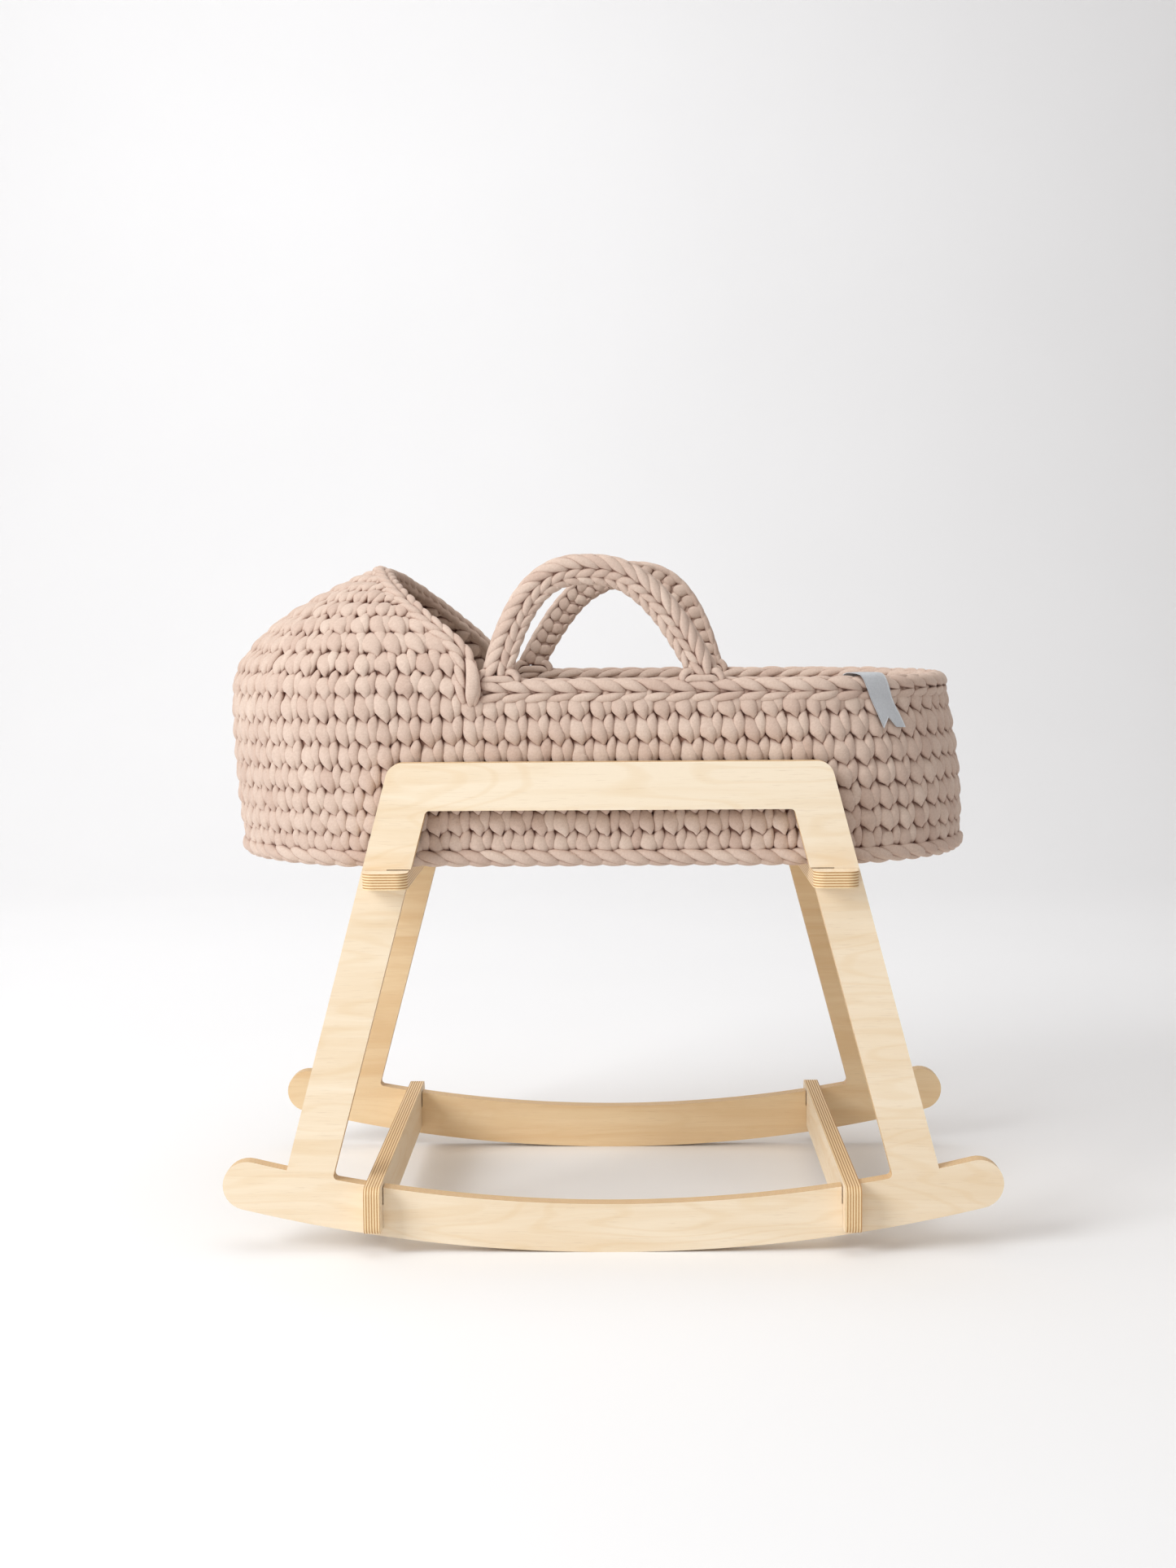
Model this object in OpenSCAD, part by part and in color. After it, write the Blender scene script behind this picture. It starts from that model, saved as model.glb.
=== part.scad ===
// Rocking bassinet: a crocheted Moses basket with a hood and two carry handles, standing in a
// slotted plywood stand on two rockers. Millimetres, +Z up, +X from the hood towards the foot
// end. The origin is on the floor, under the middle of the whole object.

/* [Plywood] */
// Thickness of every board of the stand
ply_t = 17.5; // [16:0.5:19]
// Free play along each cross-halving slot
slot_play = 1; // [0.4:0.1:1.4]

/* [Side frames] */
// Distance over the outer faces of the two side frames
frames_over = 448; // [448:1:460]
// Height of the top rail's upper edge
rail_top_z = 531; // [520:1:545]
// Depth of the top rail
rail_h = 51; // [44:1:56]
// Half width of the frame at its top edge, before the corners are rounded
rail_half = 234; // [230:1:240]
// Radius of the two outer top corners
rail_corner_r = 18; // [8:1:24]
// Horizontal width of a leg
leg_w = 52; // [50:1:54]
// How far a leg runs out sideways for each millimetre that it runs down
leg_splay = 0.267; // [0.255:0.001:0.275]
// Radius of the window's corners
window_corner_r = 5; // [3:0.5:8]
// Radius of the rocker's floor edge
rocker_r = 1690; // [1600:10:1800]
// Depth of the rocker
rocker_h = 53; // [50:1:56]
// Length of the rocker over its round ends
rocker_len = 842.4; // [830:0.2:850]

/* [Cross boards] */
// Length of the cross plates and stretchers, over their ends
boards_over = 502; // [492:1:512]
// Height of the face of the cross plates that the basket stands on
plate_top_z = 416.5; // [412:0.5:420]
// Distance of a cross plate's middle from the stand's middle
plate_x = 238; // [236:0.5:239]
// Width of a cross plate
plate_w = 48; // [44:1:49]
// Radius of a cross plate's corners
plate_corner_r = 12; // [6:1:16]
// Distance of a stretcher's middle from the stand's middle
stretcher_x = 257; // [254:1:262]
// Height of a stretcher's lower edge
stretcher_z = 27; // [25:1:29]
// Depth of a stretcher
stretcher_h = 51; // [48:1:54]
// Radius of a stretcher's corners
stretcher_corner_r = 9; // [4:1:12]

/* [Basket] */
// Half the length of the basket's straight sides
side_half = 218; // [205:1:222]
// Radius of the basket's ends at the belly of the wall
belly_r = 200; // [190:0.5:201]
// How much the wall draws in below and above its belly
belly_draw = 5.5; // [0:0.5:8]
// Middle of the basket's floor, measured from the stand's middle
floor_shift = -10.5; // [-16:0.5:-4]
// How far the wall leans towards the hood end on its way up
wall_lean = 14.5; // [0:0.5:20]
// Thickness of the crocheted wall and hood
wall_t = 14; // [10:1:16]
// Height of the wall's upper edge, under the rim braid
wall_top_z = 594; // [585:1:600]
// Height of the laced rope round the floor
lacing_h = 19; // [16:1:22]
// Width of the laced rope round the floor
lacing_w = 17; // [15:1:18]
// Thickness of the plywood floor
floor_t = 6; // [4:0.5:9]
// Width of the braid along the rim
rim_w = 24; // [20:1:26]
// Height of the braid along the rim
rim_h = 24; // [20:1:26]

/* [Hood] */
// Height of the hood over the wall's upper edge
hood_h = 147; // [130:1:155]
// Where the hood's front edge meets the rim, from the stand's middle
hood_foot_x = -140.5; // [-150:0.5:-140]
// Height at which the hood's front edge starts to lean back
hood_bend_z = 650; // [646:1:656]
// How far the front edge runs back for each millimetre that it rises over the bend
hood_rake = 1.3; // [1.1:0.05:1.35]
// Width of the edging along the hood's front
edging_w = 18; // [14:1:20]

/* [Handles] */
// Half width of a handle's arch, to the middle of its band
handle_half = 109.5; // [100:0.5:110]
// Height of a handle's arch over its hinge line, to the middle of its band
handle_rise = 108; // [90:1:120]
// Width of the handle's band
band_w = 28; // [24:1:30]
// Thickness of the handle's band
band_t = 16; // [12:1:17]
// Middle of the front handle, from the stand's middle
front_handle_x = -10; // [-12:1:0]
// Middle of the back handle, from the stand's middle
back_handle_x = 12; // [-12:1:20]
// How far the top of a handle leans along the basket
handle_lean = 13; // [0:1:20]
// Radius of the lashing cord that a handle's foot turns on
lashing_r = 2.6; // [2:0.1:3]

/* [Mattress and tag] */
// Thickness of the mattress
mattress_t = 40; // [25:1:60]
// Thickness of the mattress cover's cloth
cover_t = 1.5; // [1:0.5:3]
// Width of the folded tag on the rim
tag_w = 30; // [18:1:34]
// Lowest point of the tag
tag_low_z = 562; // [555:1:575]

/* [Hidden] */
$fn = 96;

ply_color = [0.93, 0.84, 0.68];
yarn_color = [0.79, 0.67, 0.61];
tag_color = [0.55, 0.60, 0.65];
cover_color = [0.93, 0.91, 0.88];
foam_color = [0.95, 0.93, 0.80];

eps = 0.01;            // overlap that makes a cut run clean through
rest_gap = 0.3;        // air between parts of different bodies
arc_n = 24;            // facets round each half-round basket end
wall_n = 8;            // courses up the wall shell
hood_n = 12;           // courses up the hood shell
hood_top_angle = 84;   // where the hood's courses stop and its crown is closed
bend_soft = 8;         // softness of the bend in the hood's front edge
belly_at = 0.45;       // share of the wall's height at which its belly lies
lean_power = 1.5;      // the wall leans more and more on its way up
hood_power = 2.15;     // roundness of the hood's back seen from the side
arch_power = 2.6;      // fullness of a handle's arch, 2 is a parabola
foot_turn = 26;        // height over which a handle's foot turns into its arch
arch_n = 40;           // stations along a handle's arch
bore_play = 0.4;       // air round the lashing cord in a handle's foot

// The basket reaches further out at the hood than the rocker does, so the stand's middle lies
// beside the origin.
rim_r = belly_r - belly_draw;
hood_end_x = floor_shift - wall_lean - side_half - rim_r;
stand_x = (-hood_end_x - rocker_len / 2) / 2;

frame_y = frames_over / 2 - ply_t / 2;
rocker_mid_r = rocker_r - rocker_h / 2;
rocker_end_x = rocker_len / 2 - rocker_h / 2;
rocker_end_angle = asin(rocker_end_x / rocker_mid_r);
leg_angle = atan(leg_splay);
floor_z = plate_top_z + rest_gap;
wall_z = floor_z + lacing_h;
lacing_r = belly_r - belly_draw * pow(belly_at / (1 - belly_at), 2) + 0.7;
rim_top_z = wall_top_z + rim_h;
rim_mid_r = rim_r + 0.5 - rim_w / 2;
hinge_z = rim_top_z + band_t / 2 + 0.5;
hinge_y = rim_mid_r;
foot_gap = 1.3;        // air between a handle's foot and its lashing

// ---------- Outlines and lofts ----------

// Half width of the frame's outside, and of its window, at height z
function leg_outer(z) = rail_half + leg_splay * (rail_top_z - z);
function leg_inner(z) = leg_outer(z) - leg_w;

// Share of the wall's height, its end radius and the middle of its outline at height z
function rise(z) = (z - floor_z) / (wall_top_z - floor_z);
function wall_r(z) = belly_r - belly_draw * pow((rise(z) - belly_at) / (1 - belly_at), 2);
function wall_x(z) = stand_x + floor_shift - wall_lean * pow(max(rise(z), 0), lean_power);

// One closed outline round the basket: two half circles joined by straight sides
function outline(r, c, z) = concat(
    [for (i = [0:arc_n]) let (a = 180 * i / arc_n - 90)
        [c + side_half + r * cos(a), r * sin(a), z]],
    [for (i = [0:arc_n]) let (a = 180 * i / arc_n + 90)
        [c - side_half + r * cos(a), r * sin(a), z]]
);

// Flat stadium as an exact outline
module stadium(r) {
    square([2 * side_half, 2 * r], center = true);
    for (side = [-1, 1]) translate([side * side_half, 0]) circle(r);
}

// Four-sided face as two triangles
function quad(a, b, c, d) = [[a, b, c], [a, c, d]];

// Ring of closed sections that joins up with itself, such as the wall's shell
module ring_loft(sections) {
    m = len(sections);
    n = len(sections[0]);
    polyhedron(
        points = [for (s = sections) each s],
        faces = [for (i = [0:m - 1], j = [0:n - 1])
            let (i2 = (i + 1) % m, j2 = (j + 1) % n)
            each quad(i * n + j, i2 * n + j, i2 * n + j2, i * n + j2)]
    );
}

// Row of closed sections with flat ends, such as the rim braid
module bar_loft(sections) {
    m = len(sections);
    n = len(sections[0]);
    polyhedron(
        points = [for (s = sections) each s],
        faces = concat(
            [for (i = [0:m - 2], j = [0:n - 1]) let (j2 = (j + 1) % n)
                each quad(i * n + j, (i + 1) * n + j, (i + 1) * n + j2, i * n + j2)],
            [[for (j = [0:n - 1]) j]],
            [[for (j = [n - 1:-1:0]) (m - 1) * n + j]]
        )
    );
}

// Distance of a place on the rim's half-round foot end, a degrees round from the front
function foot_end(r, a, z) = [
    wall_x(wall_top_z) + side_half + r * sin(a), -r * cos(a), z
];

// ---------- Stand ----------

// The side frame is drawn flat, with X along it and Y up it

// Points of an arc about c from angle a0 to angle a1, in n steps
function arc_points(c, r, a0, a1, n) = [for (i = [0:n]) let (a = a0 + (a1 - a0) * i / n)
    c + r * [cos(a), sin(a)]];

// Closed outline that is the same to the left and right of X = 0, from its right half
function both_halves(half) = concat(
    half,
    [for (i = [len(half) - 1:-1:0]) if (half[i][0] > eps) [-half[i][0], half[i][1]]]
);

// Height where a line that starts at base on the floor and runs in along the leg meets the
// circle of radius r about the rocker's centre
function meet_z(base, r) = let (
        qa = 1 + pow(leg_splay, 2),
        qb = -2 * (rocker_r + leg_splay * base),
        qc = pow(base, 2) + pow(rocker_r, 2) - pow(r, 2)
    )
    (-qb - sqrt(pow(qb, 2) - 4 * qa * qc)) / (2 * qa);

rocker_top_r = rocker_r - rocker_h;
rocker_centre = [0, rocker_r];
long_n = 48;           // facets along half a rocker
short_n = 16;          // facets round its ends and the rail's corners
corner_n = 6;          // facets round a window corner

// Outside of the frame: rocker, legs and rail in one
function frame_outline() = let (
        cap = rocker_centre + rocker_mid_r * [sin(rocker_end_angle), -cos(rocker_end_angle)],
        cap_from = rocker_end_angle - 90,
        foot_x = leg_outer(meet_z(leg_outer(0), rocker_top_r)),
        foot_from = asin(foot_x / rocker_top_r) - 90,
        corner_z = rail_top_z - rail_corner_r,
        corner = [leg_outer(corner_z) - rail_corner_r / cos(leg_angle), corner_z],
        floor_arc = arc_points(rocker_centre, rocker_r, -90, cap_from, long_n),
        end_arc = arc_points(cap, rocker_h / 2, cap_from, cap_from + 180, short_n),
        top_arc = arc_points(rocker_centre, rocker_top_r, cap_from, foot_from, short_n)
    )
    both_halves(concat(
        floor_arc,
        [for (i = [1:short_n]) end_arc[i]],
        [for (i = [1:short_n]) top_arc[i]],
        arc_points(corner, rail_corner_r, leg_angle, 90, short_n)
    ));

// Window between the legs: its floor is the rocker's upper edge, its corners are round
function window_outline() = let (
        r = window_corner_r,
        top_z = rail_top_z - rail_h - r,
        top = [leg_inner(top_z) - r / cos(leg_angle), top_z],
        low_z = meet_z(leg_inner(0) - r / cos(leg_angle), rocker_top_r - r),
        low = [leg_inner(low_z) - r / cos(leg_angle), low_z],
        low_from = asin(low[0] / (rocker_top_r - r)) - 90,
        floor_arc = arc_points(rocker_centre, rocker_top_r, -90, low_from, long_n),
        low_corner = arc_points(low, r, low_from, leg_angle, corner_n)
    )
    both_halves(concat(
        floor_arc,
        [for (i = [1:corner_n]) low_corner[i]],
        arc_points(top, r, leg_angle, 90, corner_n)
    ));

// One side frame, cut from a single board, standing in the XZ plane about y = 0
module side_frame() {
    halving_z = stretcher_z + stretcher_h / 2;
    slot_w = ply_t + 2 * slot_play;
    translate([0, ply_t / 2, 0]) rotate([90, 0, 0]) difference() {
        linear_extrude(ply_t) polygon(frame_outline());
        translate([0, 0, -ply_t]) linear_extrude(3 * ply_t) polygon(window_outline());
        for (side = [-1, 1]) {
            // slot for a stretcher, open at the rocker's upper edge
            translate([side * stretcher_x - slot_w / 2, halving_z, -ply_t])
                cube([slot_w, rocker_h, 3 * ply_t]);
            // slot for a cross plate, open at the leg's inner edge
            translate([side > 0 ? plate_x - plate_w : -plate_x, plate_top_z - ply_t, -ply_t])
                cube([plate_w, ply_t + slot_play, 3 * ply_t]);
        }
    }
}

// Flat board with round corners, centred, in its own XY plane
module round_board(length, width, r) {
    square([length - 2 * r, width], center = true);
    square([length, width - 2 * r], center = true);
    for (sx = [-1, 1], sy = [-1, 1])
        translate([sx * (length / 2 - r), sy * (width / 2 - r)]) circle(r);
}

// Cross plate: lies flat, notched from its outer edge where it meets each leg
module cross_plate(side) {
    notch_w = ply_t + slot_play;
    translate([stand_x + side * plate_x, 0, plate_top_z - ply_t]) difference() {
        linear_extrude(ply_t) round_board(plate_w, boards_over, plate_corner_r);
        for (sy = [-1, 1])
            translate([side > 0 ? 0 : -plate_w, sy * frame_y - notch_w / 2, -eps])
                cube([plate_w, notch_w, ply_t + 2 * eps]);
    }
}

// Stretcher: stands on edge, notched from below where it meets each rocker
module stretcher(side) {
    notch_w = ply_t + slot_play;
    translate([stand_x + side * stretcher_x, 0, stretcher_z]) difference() {
        translate([-ply_t / 2, 0, stretcher_h / 2]) rotate([90, 0, 90]) linear_extrude(ply_t)
            round_board(boards_over, stretcher_h, stretcher_corner_r);
        for (sy = [-1, 1])
            translate([-ply_t, sy * frame_y - notch_w / 2, -eps])
                cube([2 * ply_t, notch_w, stretcher_h / 2 + eps]);
    }
}

module side_frame_front() { color(ply_color) translate([stand_x, -frame_y, 0]) side_frame(); }
module side_frame_back() { color(ply_color) translate([stand_x, frame_y, 0]) side_frame(); }
module upper_cross_plate_left() { color(ply_color) cross_plate(-1); }
module upper_cross_plate_right() { color(ply_color) cross_plate(1); }
module lower_stretcher_left() { color(ply_color) stretcher(-1); }
module lower_stretcher_right() { color(ply_color) stretcher(1); }

// ---------- Basket ----------

floor_x = stand_x + floor_shift;

// Plywood floor of the basket, with the row of holes that the lacing runs through
module base_board() {
    hole_r = 3;
    hole_inset = 10;
    hole_pitch = 27.25;
    lace_r = lacing_r - lacing_w - hole_inset;
    end_n = round(PI * lace_r / hole_pitch);
    side_n = round(2 * side_half / hole_pitch);
    color(ply_color) translate([floor_x, 0, floor_z]) linear_extrude(floor_t) difference() {
        stadium(lacing_r - lacing_w);
        for (sy = [-1, 1], i = [0:side_n])
            translate([-side_half + 2 * side_half * i / side_n, sy * lace_r]) circle(hole_r);
        for (side = [-1, 1], i = [1:end_n - 1]) let (a = 180 * i / end_n - 90)
            translate([side * (side_half + lace_r * cos(a)), lace_r * sin(a)]) circle(hole_r);
    }
}

// Rope of yarn laced round the floor's edge
module bottom_lacing() {
    color(yarn_color) translate([floor_x, 0, floor_z]) linear_extrude(lacing_h) difference() {
        stadium(lacing_r);
        stadium(lacing_r - lacing_w);
    }
}

// Crocheted wall: outside upwards, then inside downwards
module basket_wall() {
    levels = [for (i = [0:wall_n]) wall_z + (wall_top_z - wall_z) * i / wall_n];
    color(yarn_color) ring_loft(concat(
        [for (i = [0:wall_n]) let (z = levels[i]) outline(wall_r(z), wall_x(z), z)],
        [for (i = [wall_n:-1:0]) let (z = levels[i]) outline(wall_r(z) - wall_t, wall_x(z), z)]
    ));
}

// Section of the rim braid in its own plane: [outwards, up], flat below and round above
rim_steps = 6;
function rim_section() = concat(
    [[-rim_w / 2, 0]],
    [for (i = [0:rim_steps]) let (a = 180 - 180 * i / rim_steps)
        [rim_w / 2 * cos(a), rim_h * (0.4 + 0.6 * sin(a))]],
    [[rim_w / 2, 0]]
);

// Braid along the rim, from the hood's foot round the foot end to its other foot
module rim_braid() {
    c = wall_x(wall_top_z);
    start_x = stand_x + hood_foot_x + 1;
    path = concat(
        [[[start_x, 0], 0]],
        [for (i = [0:arc_n]) [[c + side_half, 0], 180 * i / arc_n]],
        [[[start_x, 0], 180]]
    );
    color(yarn_color) bar_loft([for (p = path)
        [for (s = rim_section()) let (r = rim_mid_r + s[0])
            [p[0][0] + r * sin(p[1]), -r * cos(p[1]), wall_top_z + s[1]]]
    ]);
}

// Hood, seen from the side: its front edge, its back, and both at the wall's upper edge
function soft_over(v) = bend_soft * ln(1 + exp(v / bend_soft));
function hood_front(z) = stand_x + hood_foot_x - edging_w
    - hood_rake * soft_over(z - hood_bend_z);
hood_back_x = stand_x + hood_end_x;
hood_crown_x = hood_front(wall_top_z + hood_h) - 2;
function hood_back(z) = hood_crown_x - (hood_crown_x - hood_back_x)
    * (1 - pow((z - wall_top_z) / hood_h, hood_power));
hood_straight = hood_front(wall_top_z) - (wall_x(wall_top_z) - side_half);
hood_run = 2 * hood_straight + PI * rim_r;

// Place s along the hood's lowest course, from the front round the back to the other side,
// as [distance behind the front edge, sideways]
function hood_base(s) = let (
        d = s * hood_run,
        a = (d - hood_straight) / rim_r * 180 / PI
    )
    a < 0 ? [d, -rim_r]
    : a > 180 ? [hood_run - d, rim_r]
    : [hood_straight + rim_r * sin(a), -rim_r * cos(a)];

// Place on the hood: s along its course, f the angle up its arch, k the scale of the shell.
// The lowest course follows the wall, and the courses turn into half ellipses on the way up.
function hood_point(s, f, k) = let (
        up = sin(f),
        z = wall_top_z + hood_h * up,
        base = hood_base(s),
        low_depth = hood_front(wall_top_z) - hood_back_x,
        depth = hood_front(z) - hood_back(z),
        u = (1 - up) * base[0] / low_depth + up * sin(180 * s),
        v = (1 - up) * base[1] / rim_r - up * cos(180 * s)
    )
    [hood_front(z) - k[0] * depth * u, k[1] * rim_r * cos(f) * v,
     wall_top_z + k[2] * hood_h * up];

hood_m = 36;
hood_angles = [for (i = [0:hood_n]) hood_top_angle * i / hood_n];
outer_scale = [1, 1, 1];
inner_scale = [
    1 - wall_t / (hood_front(wall_top_z) - hood_back_x),
    1 - wall_t / rim_r,
    1 - wall_t / hood_h
];

// Crocheted hood: outer and inner sheet, joined along the front edge and the wall
module hood() {
    n = hood_m + 1;
    inner_at = n * (hood_n + 1);
    function at(i, j) = i * n + j;
    function inn(i, j) = inner_at + i * n + j;
    color(yarn_color) polyhedron(
        points = [for (k = [outer_scale, inner_scale], f = hood_angles, j = [0:hood_m])
            hood_point(j / hood_m, f, k)],
        faces = concat(
            [for (i = [0:hood_n - 1], j = [0:hood_m - 1])
                each quad(at(i, j), at(i + 1, j), at(i + 1, j + 1), at(i, j + 1))],
            [for (i = [0:hood_n - 1], j = [0:hood_m - 1])
                each quad(inn(i, j), inn(i, j + 1), inn(i + 1, j + 1), inn(i + 1, j))],
            [for (j = [0:hood_m - 1])
                each quad(at(0, j), at(0, j + 1), inn(0, j + 1), inn(0, j))],
            [for (i = [0:hood_n - 1])
                each quad(at(i, 0), inn(i, 0), inn(i + 1, 0), at(i + 1, 0))],
            [for (i = [0:hood_n - 1], m = hood_m)
                each quad(at(i, m), at(i + 1, m), inn(i + 1, m), inn(i, m))],
            [[for (j = [0:hood_m]) at(hood_n, j)]],
            [[for (j = [hood_m:-1:0]) inn(hood_n, j)]],
            [[at(hood_n, 0), inn(hood_n, 0), inn(hood_n, hood_m), at(hood_n, hood_m)]]
        )
    );
}

// Chain of yarn along the hood's front edge
module hood_edging() {
    stations = concat(
        [for (i = [0:hood_n]) [0, hood_angles[i]]],
        [for (i = [hood_n:-1:0]) [1, hood_angles[i]]]
    );
    color(yarn_color) bar_loft([for (t = stations) let (
            outer = hood_point(t[0], t[1], outer_scale),
            inner = hood_point(t[0], t[1], inner_scale),
            reach = [edging_w, 0, 0]
        )
        [outer, outer + 0.6 * reach, 0.7 * outer + 0.3 * inner + 0.9 * reach,
         0.5 * outer + 0.5 * inner + reach, 0.3 * outer + 0.7 * inner + 0.9 * reach,
         inner + 0.6 * reach, inner]
    ]);
}

// ---------- Handles ----------

// Point on the middle line of a handle's arch, t from 0 to 180 degrees, as [x, z]
function arch(t, lean) = let (
        up = 1 - pow(abs(cos(t)), arch_power)
    )
    [handle_half * cos(t) + lean * up, handle_rise * up];

// Direction of a handle's band at t: upright at its feet, then along its arch
function arch_dir(t, lean) = let (
        step = 90 / arch_n,
        d = arch(min(t + step, 180), lean) - arch(max(t - step, 0), lean),
        turned = min(arch(t, lean)[1] / foot_turn, 1),
        mixed = turned * d / norm(d) + (1 - turned) * [0, t < 90 ? 1 : -1]
    )
    mixed / norm(mixed);

// Section of the band: a flat oval, as [across, through]
band_steps = 12;
band_square = 0.6;     // 1 is an oval, less is squarer
function band_section() = [for (i = [0:band_steps - 1]) let (a = 360 * (i + 0.5) / band_steps)
    [band_w / 2 * sign(cos(a)) * pow(abs(cos(a)), band_square),
     band_t / 2 * sign(sin(a)) * pow(abs(sin(a)), band_square)]];

// Carry handle standing up from its hinge line, with an eye at each foot for the lashing
module handle(middle_x, y, lean) {
    translate([stand_x + middle_x, y, hinge_z]) difference() {
        union() {
            bar_loft([for (i = [0:arch_n]) let (
                    t = 180 * i / arch_n,
                    p = arch(t, lean),
                    dir = arch_dir(t, lean)
                )
                [for (s = band_section())
                    [p[0] + s[0] * dir[1], s[1], p[1] - s[0] * dir[0]]]
            ]);
            for (side = [-1, 1]) translate([side * handle_half - band_w / 2, 0, 0])
                rotate([0, 90, 0]) cylinder(h = band_w, r = band_t / 2);
        }
        for (side = [-1, 1]) translate([side * handle_half - band_w, 0, 0])
            rotate([0, 90, 0]) cylinder(h = 2 * band_w, r = lashing_r + bore_play);
    }
}

// Lashings that sew a handle's two feet to the rim: a cord through the eye, down at both ends
module lashings(middle_x, y) {
    leg_x = band_w / 2 + foot_gap + lashing_r;
    leg_drop = hinge_z - rim_top_z + 3;
    for (side = [-1, 1]) translate([stand_x + middle_x + side * handle_half, y, hinge_z]) {
        translate([-leg_x, 0, 0]) rotate([0, 90, 0]) cylinder(h = 2 * leg_x, r = lashing_r);
        for (end = [-1, 1]) translate([end * leg_x, 0, 0]) {
            sphere(lashing_r);
            translate([0, 0, -leg_drop]) cylinder(h = leg_drop, r = lashing_r);
        }
    }
}

module handle_front() { color(yarn_color) handle(front_handle_x, -hinge_y, -handle_lean); }
module handle_back() { color(yarn_color) handle(back_handle_x, hinge_y, handle_lean); }
module handle_front_lashings() { color(yarn_color) lashings(front_handle_x, -hinge_y); }
module handle_back_lashings() { color(yarn_color) lashings(back_handle_x, hinge_y); }

// ---------- Tag and mattress ----------

// Folded tag: hangs over the rim near the foot end, slanting, on both sides of the braid
module rim_tag() {
    tag_t = 1.2;
    gap = 0.8;
    top_angle = 28.6;
    slant = 6 / 56;        // degrees round the end for each millimetre down
    inside_drop = 21;
    // places on the way from the outer lower edge over the braid to the inner lower edge,
    // as [radius, height, direction that faces away from the braid]
    over = [for (i = [0:rim_steps]) let (a = 180 * i / rim_steps)
        [rim_mid_r + rim_w / 2 * cos(a), wall_top_z + rim_h * (0.4 + 0.6 * sin(a)),
         [cos(a), sin(a)]]];
    way = concat(
        [[rim_mid_r + rim_w / 2 + 6.5, tag_low_z, [1, 0]],
         [rim_mid_r + rim_w / 2 + 1.5, wall_top_z, [1, 0]]],
        over,
        [[rim_mid_r - rim_w / 2, rim_top_z - inside_drop, [-1, 0]]]
    );
    half_angle = tag_w / 2 / rim_r * 180 / PI;
    color(tag_color) bar_loft([for (w = way) let (
            mid = top_angle + slant * (rim_top_z - w[1])
        )
        [for (c = [[-1, gap], [1, gap], [1, gap + tag_t], [-1, gap + tag_t]])
            foot_end(w[0] + w[2][0] * c[1], mid + c[0] * half_angle, w[1] + w[2][1] * c[1])]
    ]);
}

mattress_r = lacing_r - lacing_w - 2;
mattress_z = floor_z + floor_t;

module mattress_foam() {
    core_gap = 0.2;
    color(foam_color) translate([floor_x, 0, mattress_z + cover_t + core_gap])
        linear_extrude(mattress_t - 2 * cover_t - 2 * core_gap)
            stadium(mattress_r - cover_t - core_gap);
}

module mattress_cover() {
    color(cover_color) translate([floor_x, 0, mattress_z]) difference() {
        linear_extrude(mattress_t) stadium(mattress_r);
        translate([0, 0, cover_t]) linear_extrude(mattress_t - 2 * cover_t)
            stadium(mattress_r - cover_t);
    }
}

side_frame_front();
side_frame_back();
upper_cross_plate_left();
upper_cross_plate_right();
lower_stretcher_left();
lower_stretcher_right();
base_board();
bottom_lacing();
basket_wall();
rim_braid();
hood();
hood_edging();
handle_front();
handle_back();
handle_front_lashings();
handle_back_lashings();
rim_tag();
mattress_foam();
mattress_cover();
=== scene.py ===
"""Looks of a rocking bassinet: a crocheted Moses basket on a slotted birch plywood stand."""
import math

import bpy
import numpy as np
from mathutils import Matrix, Vector


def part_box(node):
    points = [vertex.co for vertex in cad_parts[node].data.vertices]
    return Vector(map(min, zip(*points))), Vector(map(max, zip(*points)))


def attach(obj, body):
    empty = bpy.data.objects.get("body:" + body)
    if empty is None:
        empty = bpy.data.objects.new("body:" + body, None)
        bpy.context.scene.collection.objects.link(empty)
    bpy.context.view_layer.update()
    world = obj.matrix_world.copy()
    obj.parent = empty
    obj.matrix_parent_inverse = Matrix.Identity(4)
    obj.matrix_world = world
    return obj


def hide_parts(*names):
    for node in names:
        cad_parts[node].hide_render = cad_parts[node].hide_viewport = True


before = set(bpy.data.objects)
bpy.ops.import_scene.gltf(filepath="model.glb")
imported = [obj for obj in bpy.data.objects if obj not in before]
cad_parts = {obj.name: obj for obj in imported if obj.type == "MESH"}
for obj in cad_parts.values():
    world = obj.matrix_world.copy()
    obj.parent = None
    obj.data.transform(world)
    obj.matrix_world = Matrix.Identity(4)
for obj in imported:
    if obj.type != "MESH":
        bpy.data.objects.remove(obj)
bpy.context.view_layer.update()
rng = np.random.default_rng(11)
MM = 0.001
PI = math.pi
scene = bpy.context.scene


def box_mm(node):
    """Lowest and highest corner of a CAD node, in millimetres."""
    lo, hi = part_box(node)
    return np.array(lo) / MM, np.array(hi) / MM


# ---------- Sizes, from the CAD ----------

frame_lo, frame_hi = box_mm("side_frame_front")
lace_lo, lace_hi = box_mm("bottom_lacing")
wall_hi = box_mm("basket_wall")[1]
rim_lo, rim_hi = box_mm("rim_braid")
hood_lo, hood_hi = box_mm("hood")
edging_hi = box_mm("hood_edging")[1]
cover_lo, cover_hi = box_mm("mattress_cover")

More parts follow.
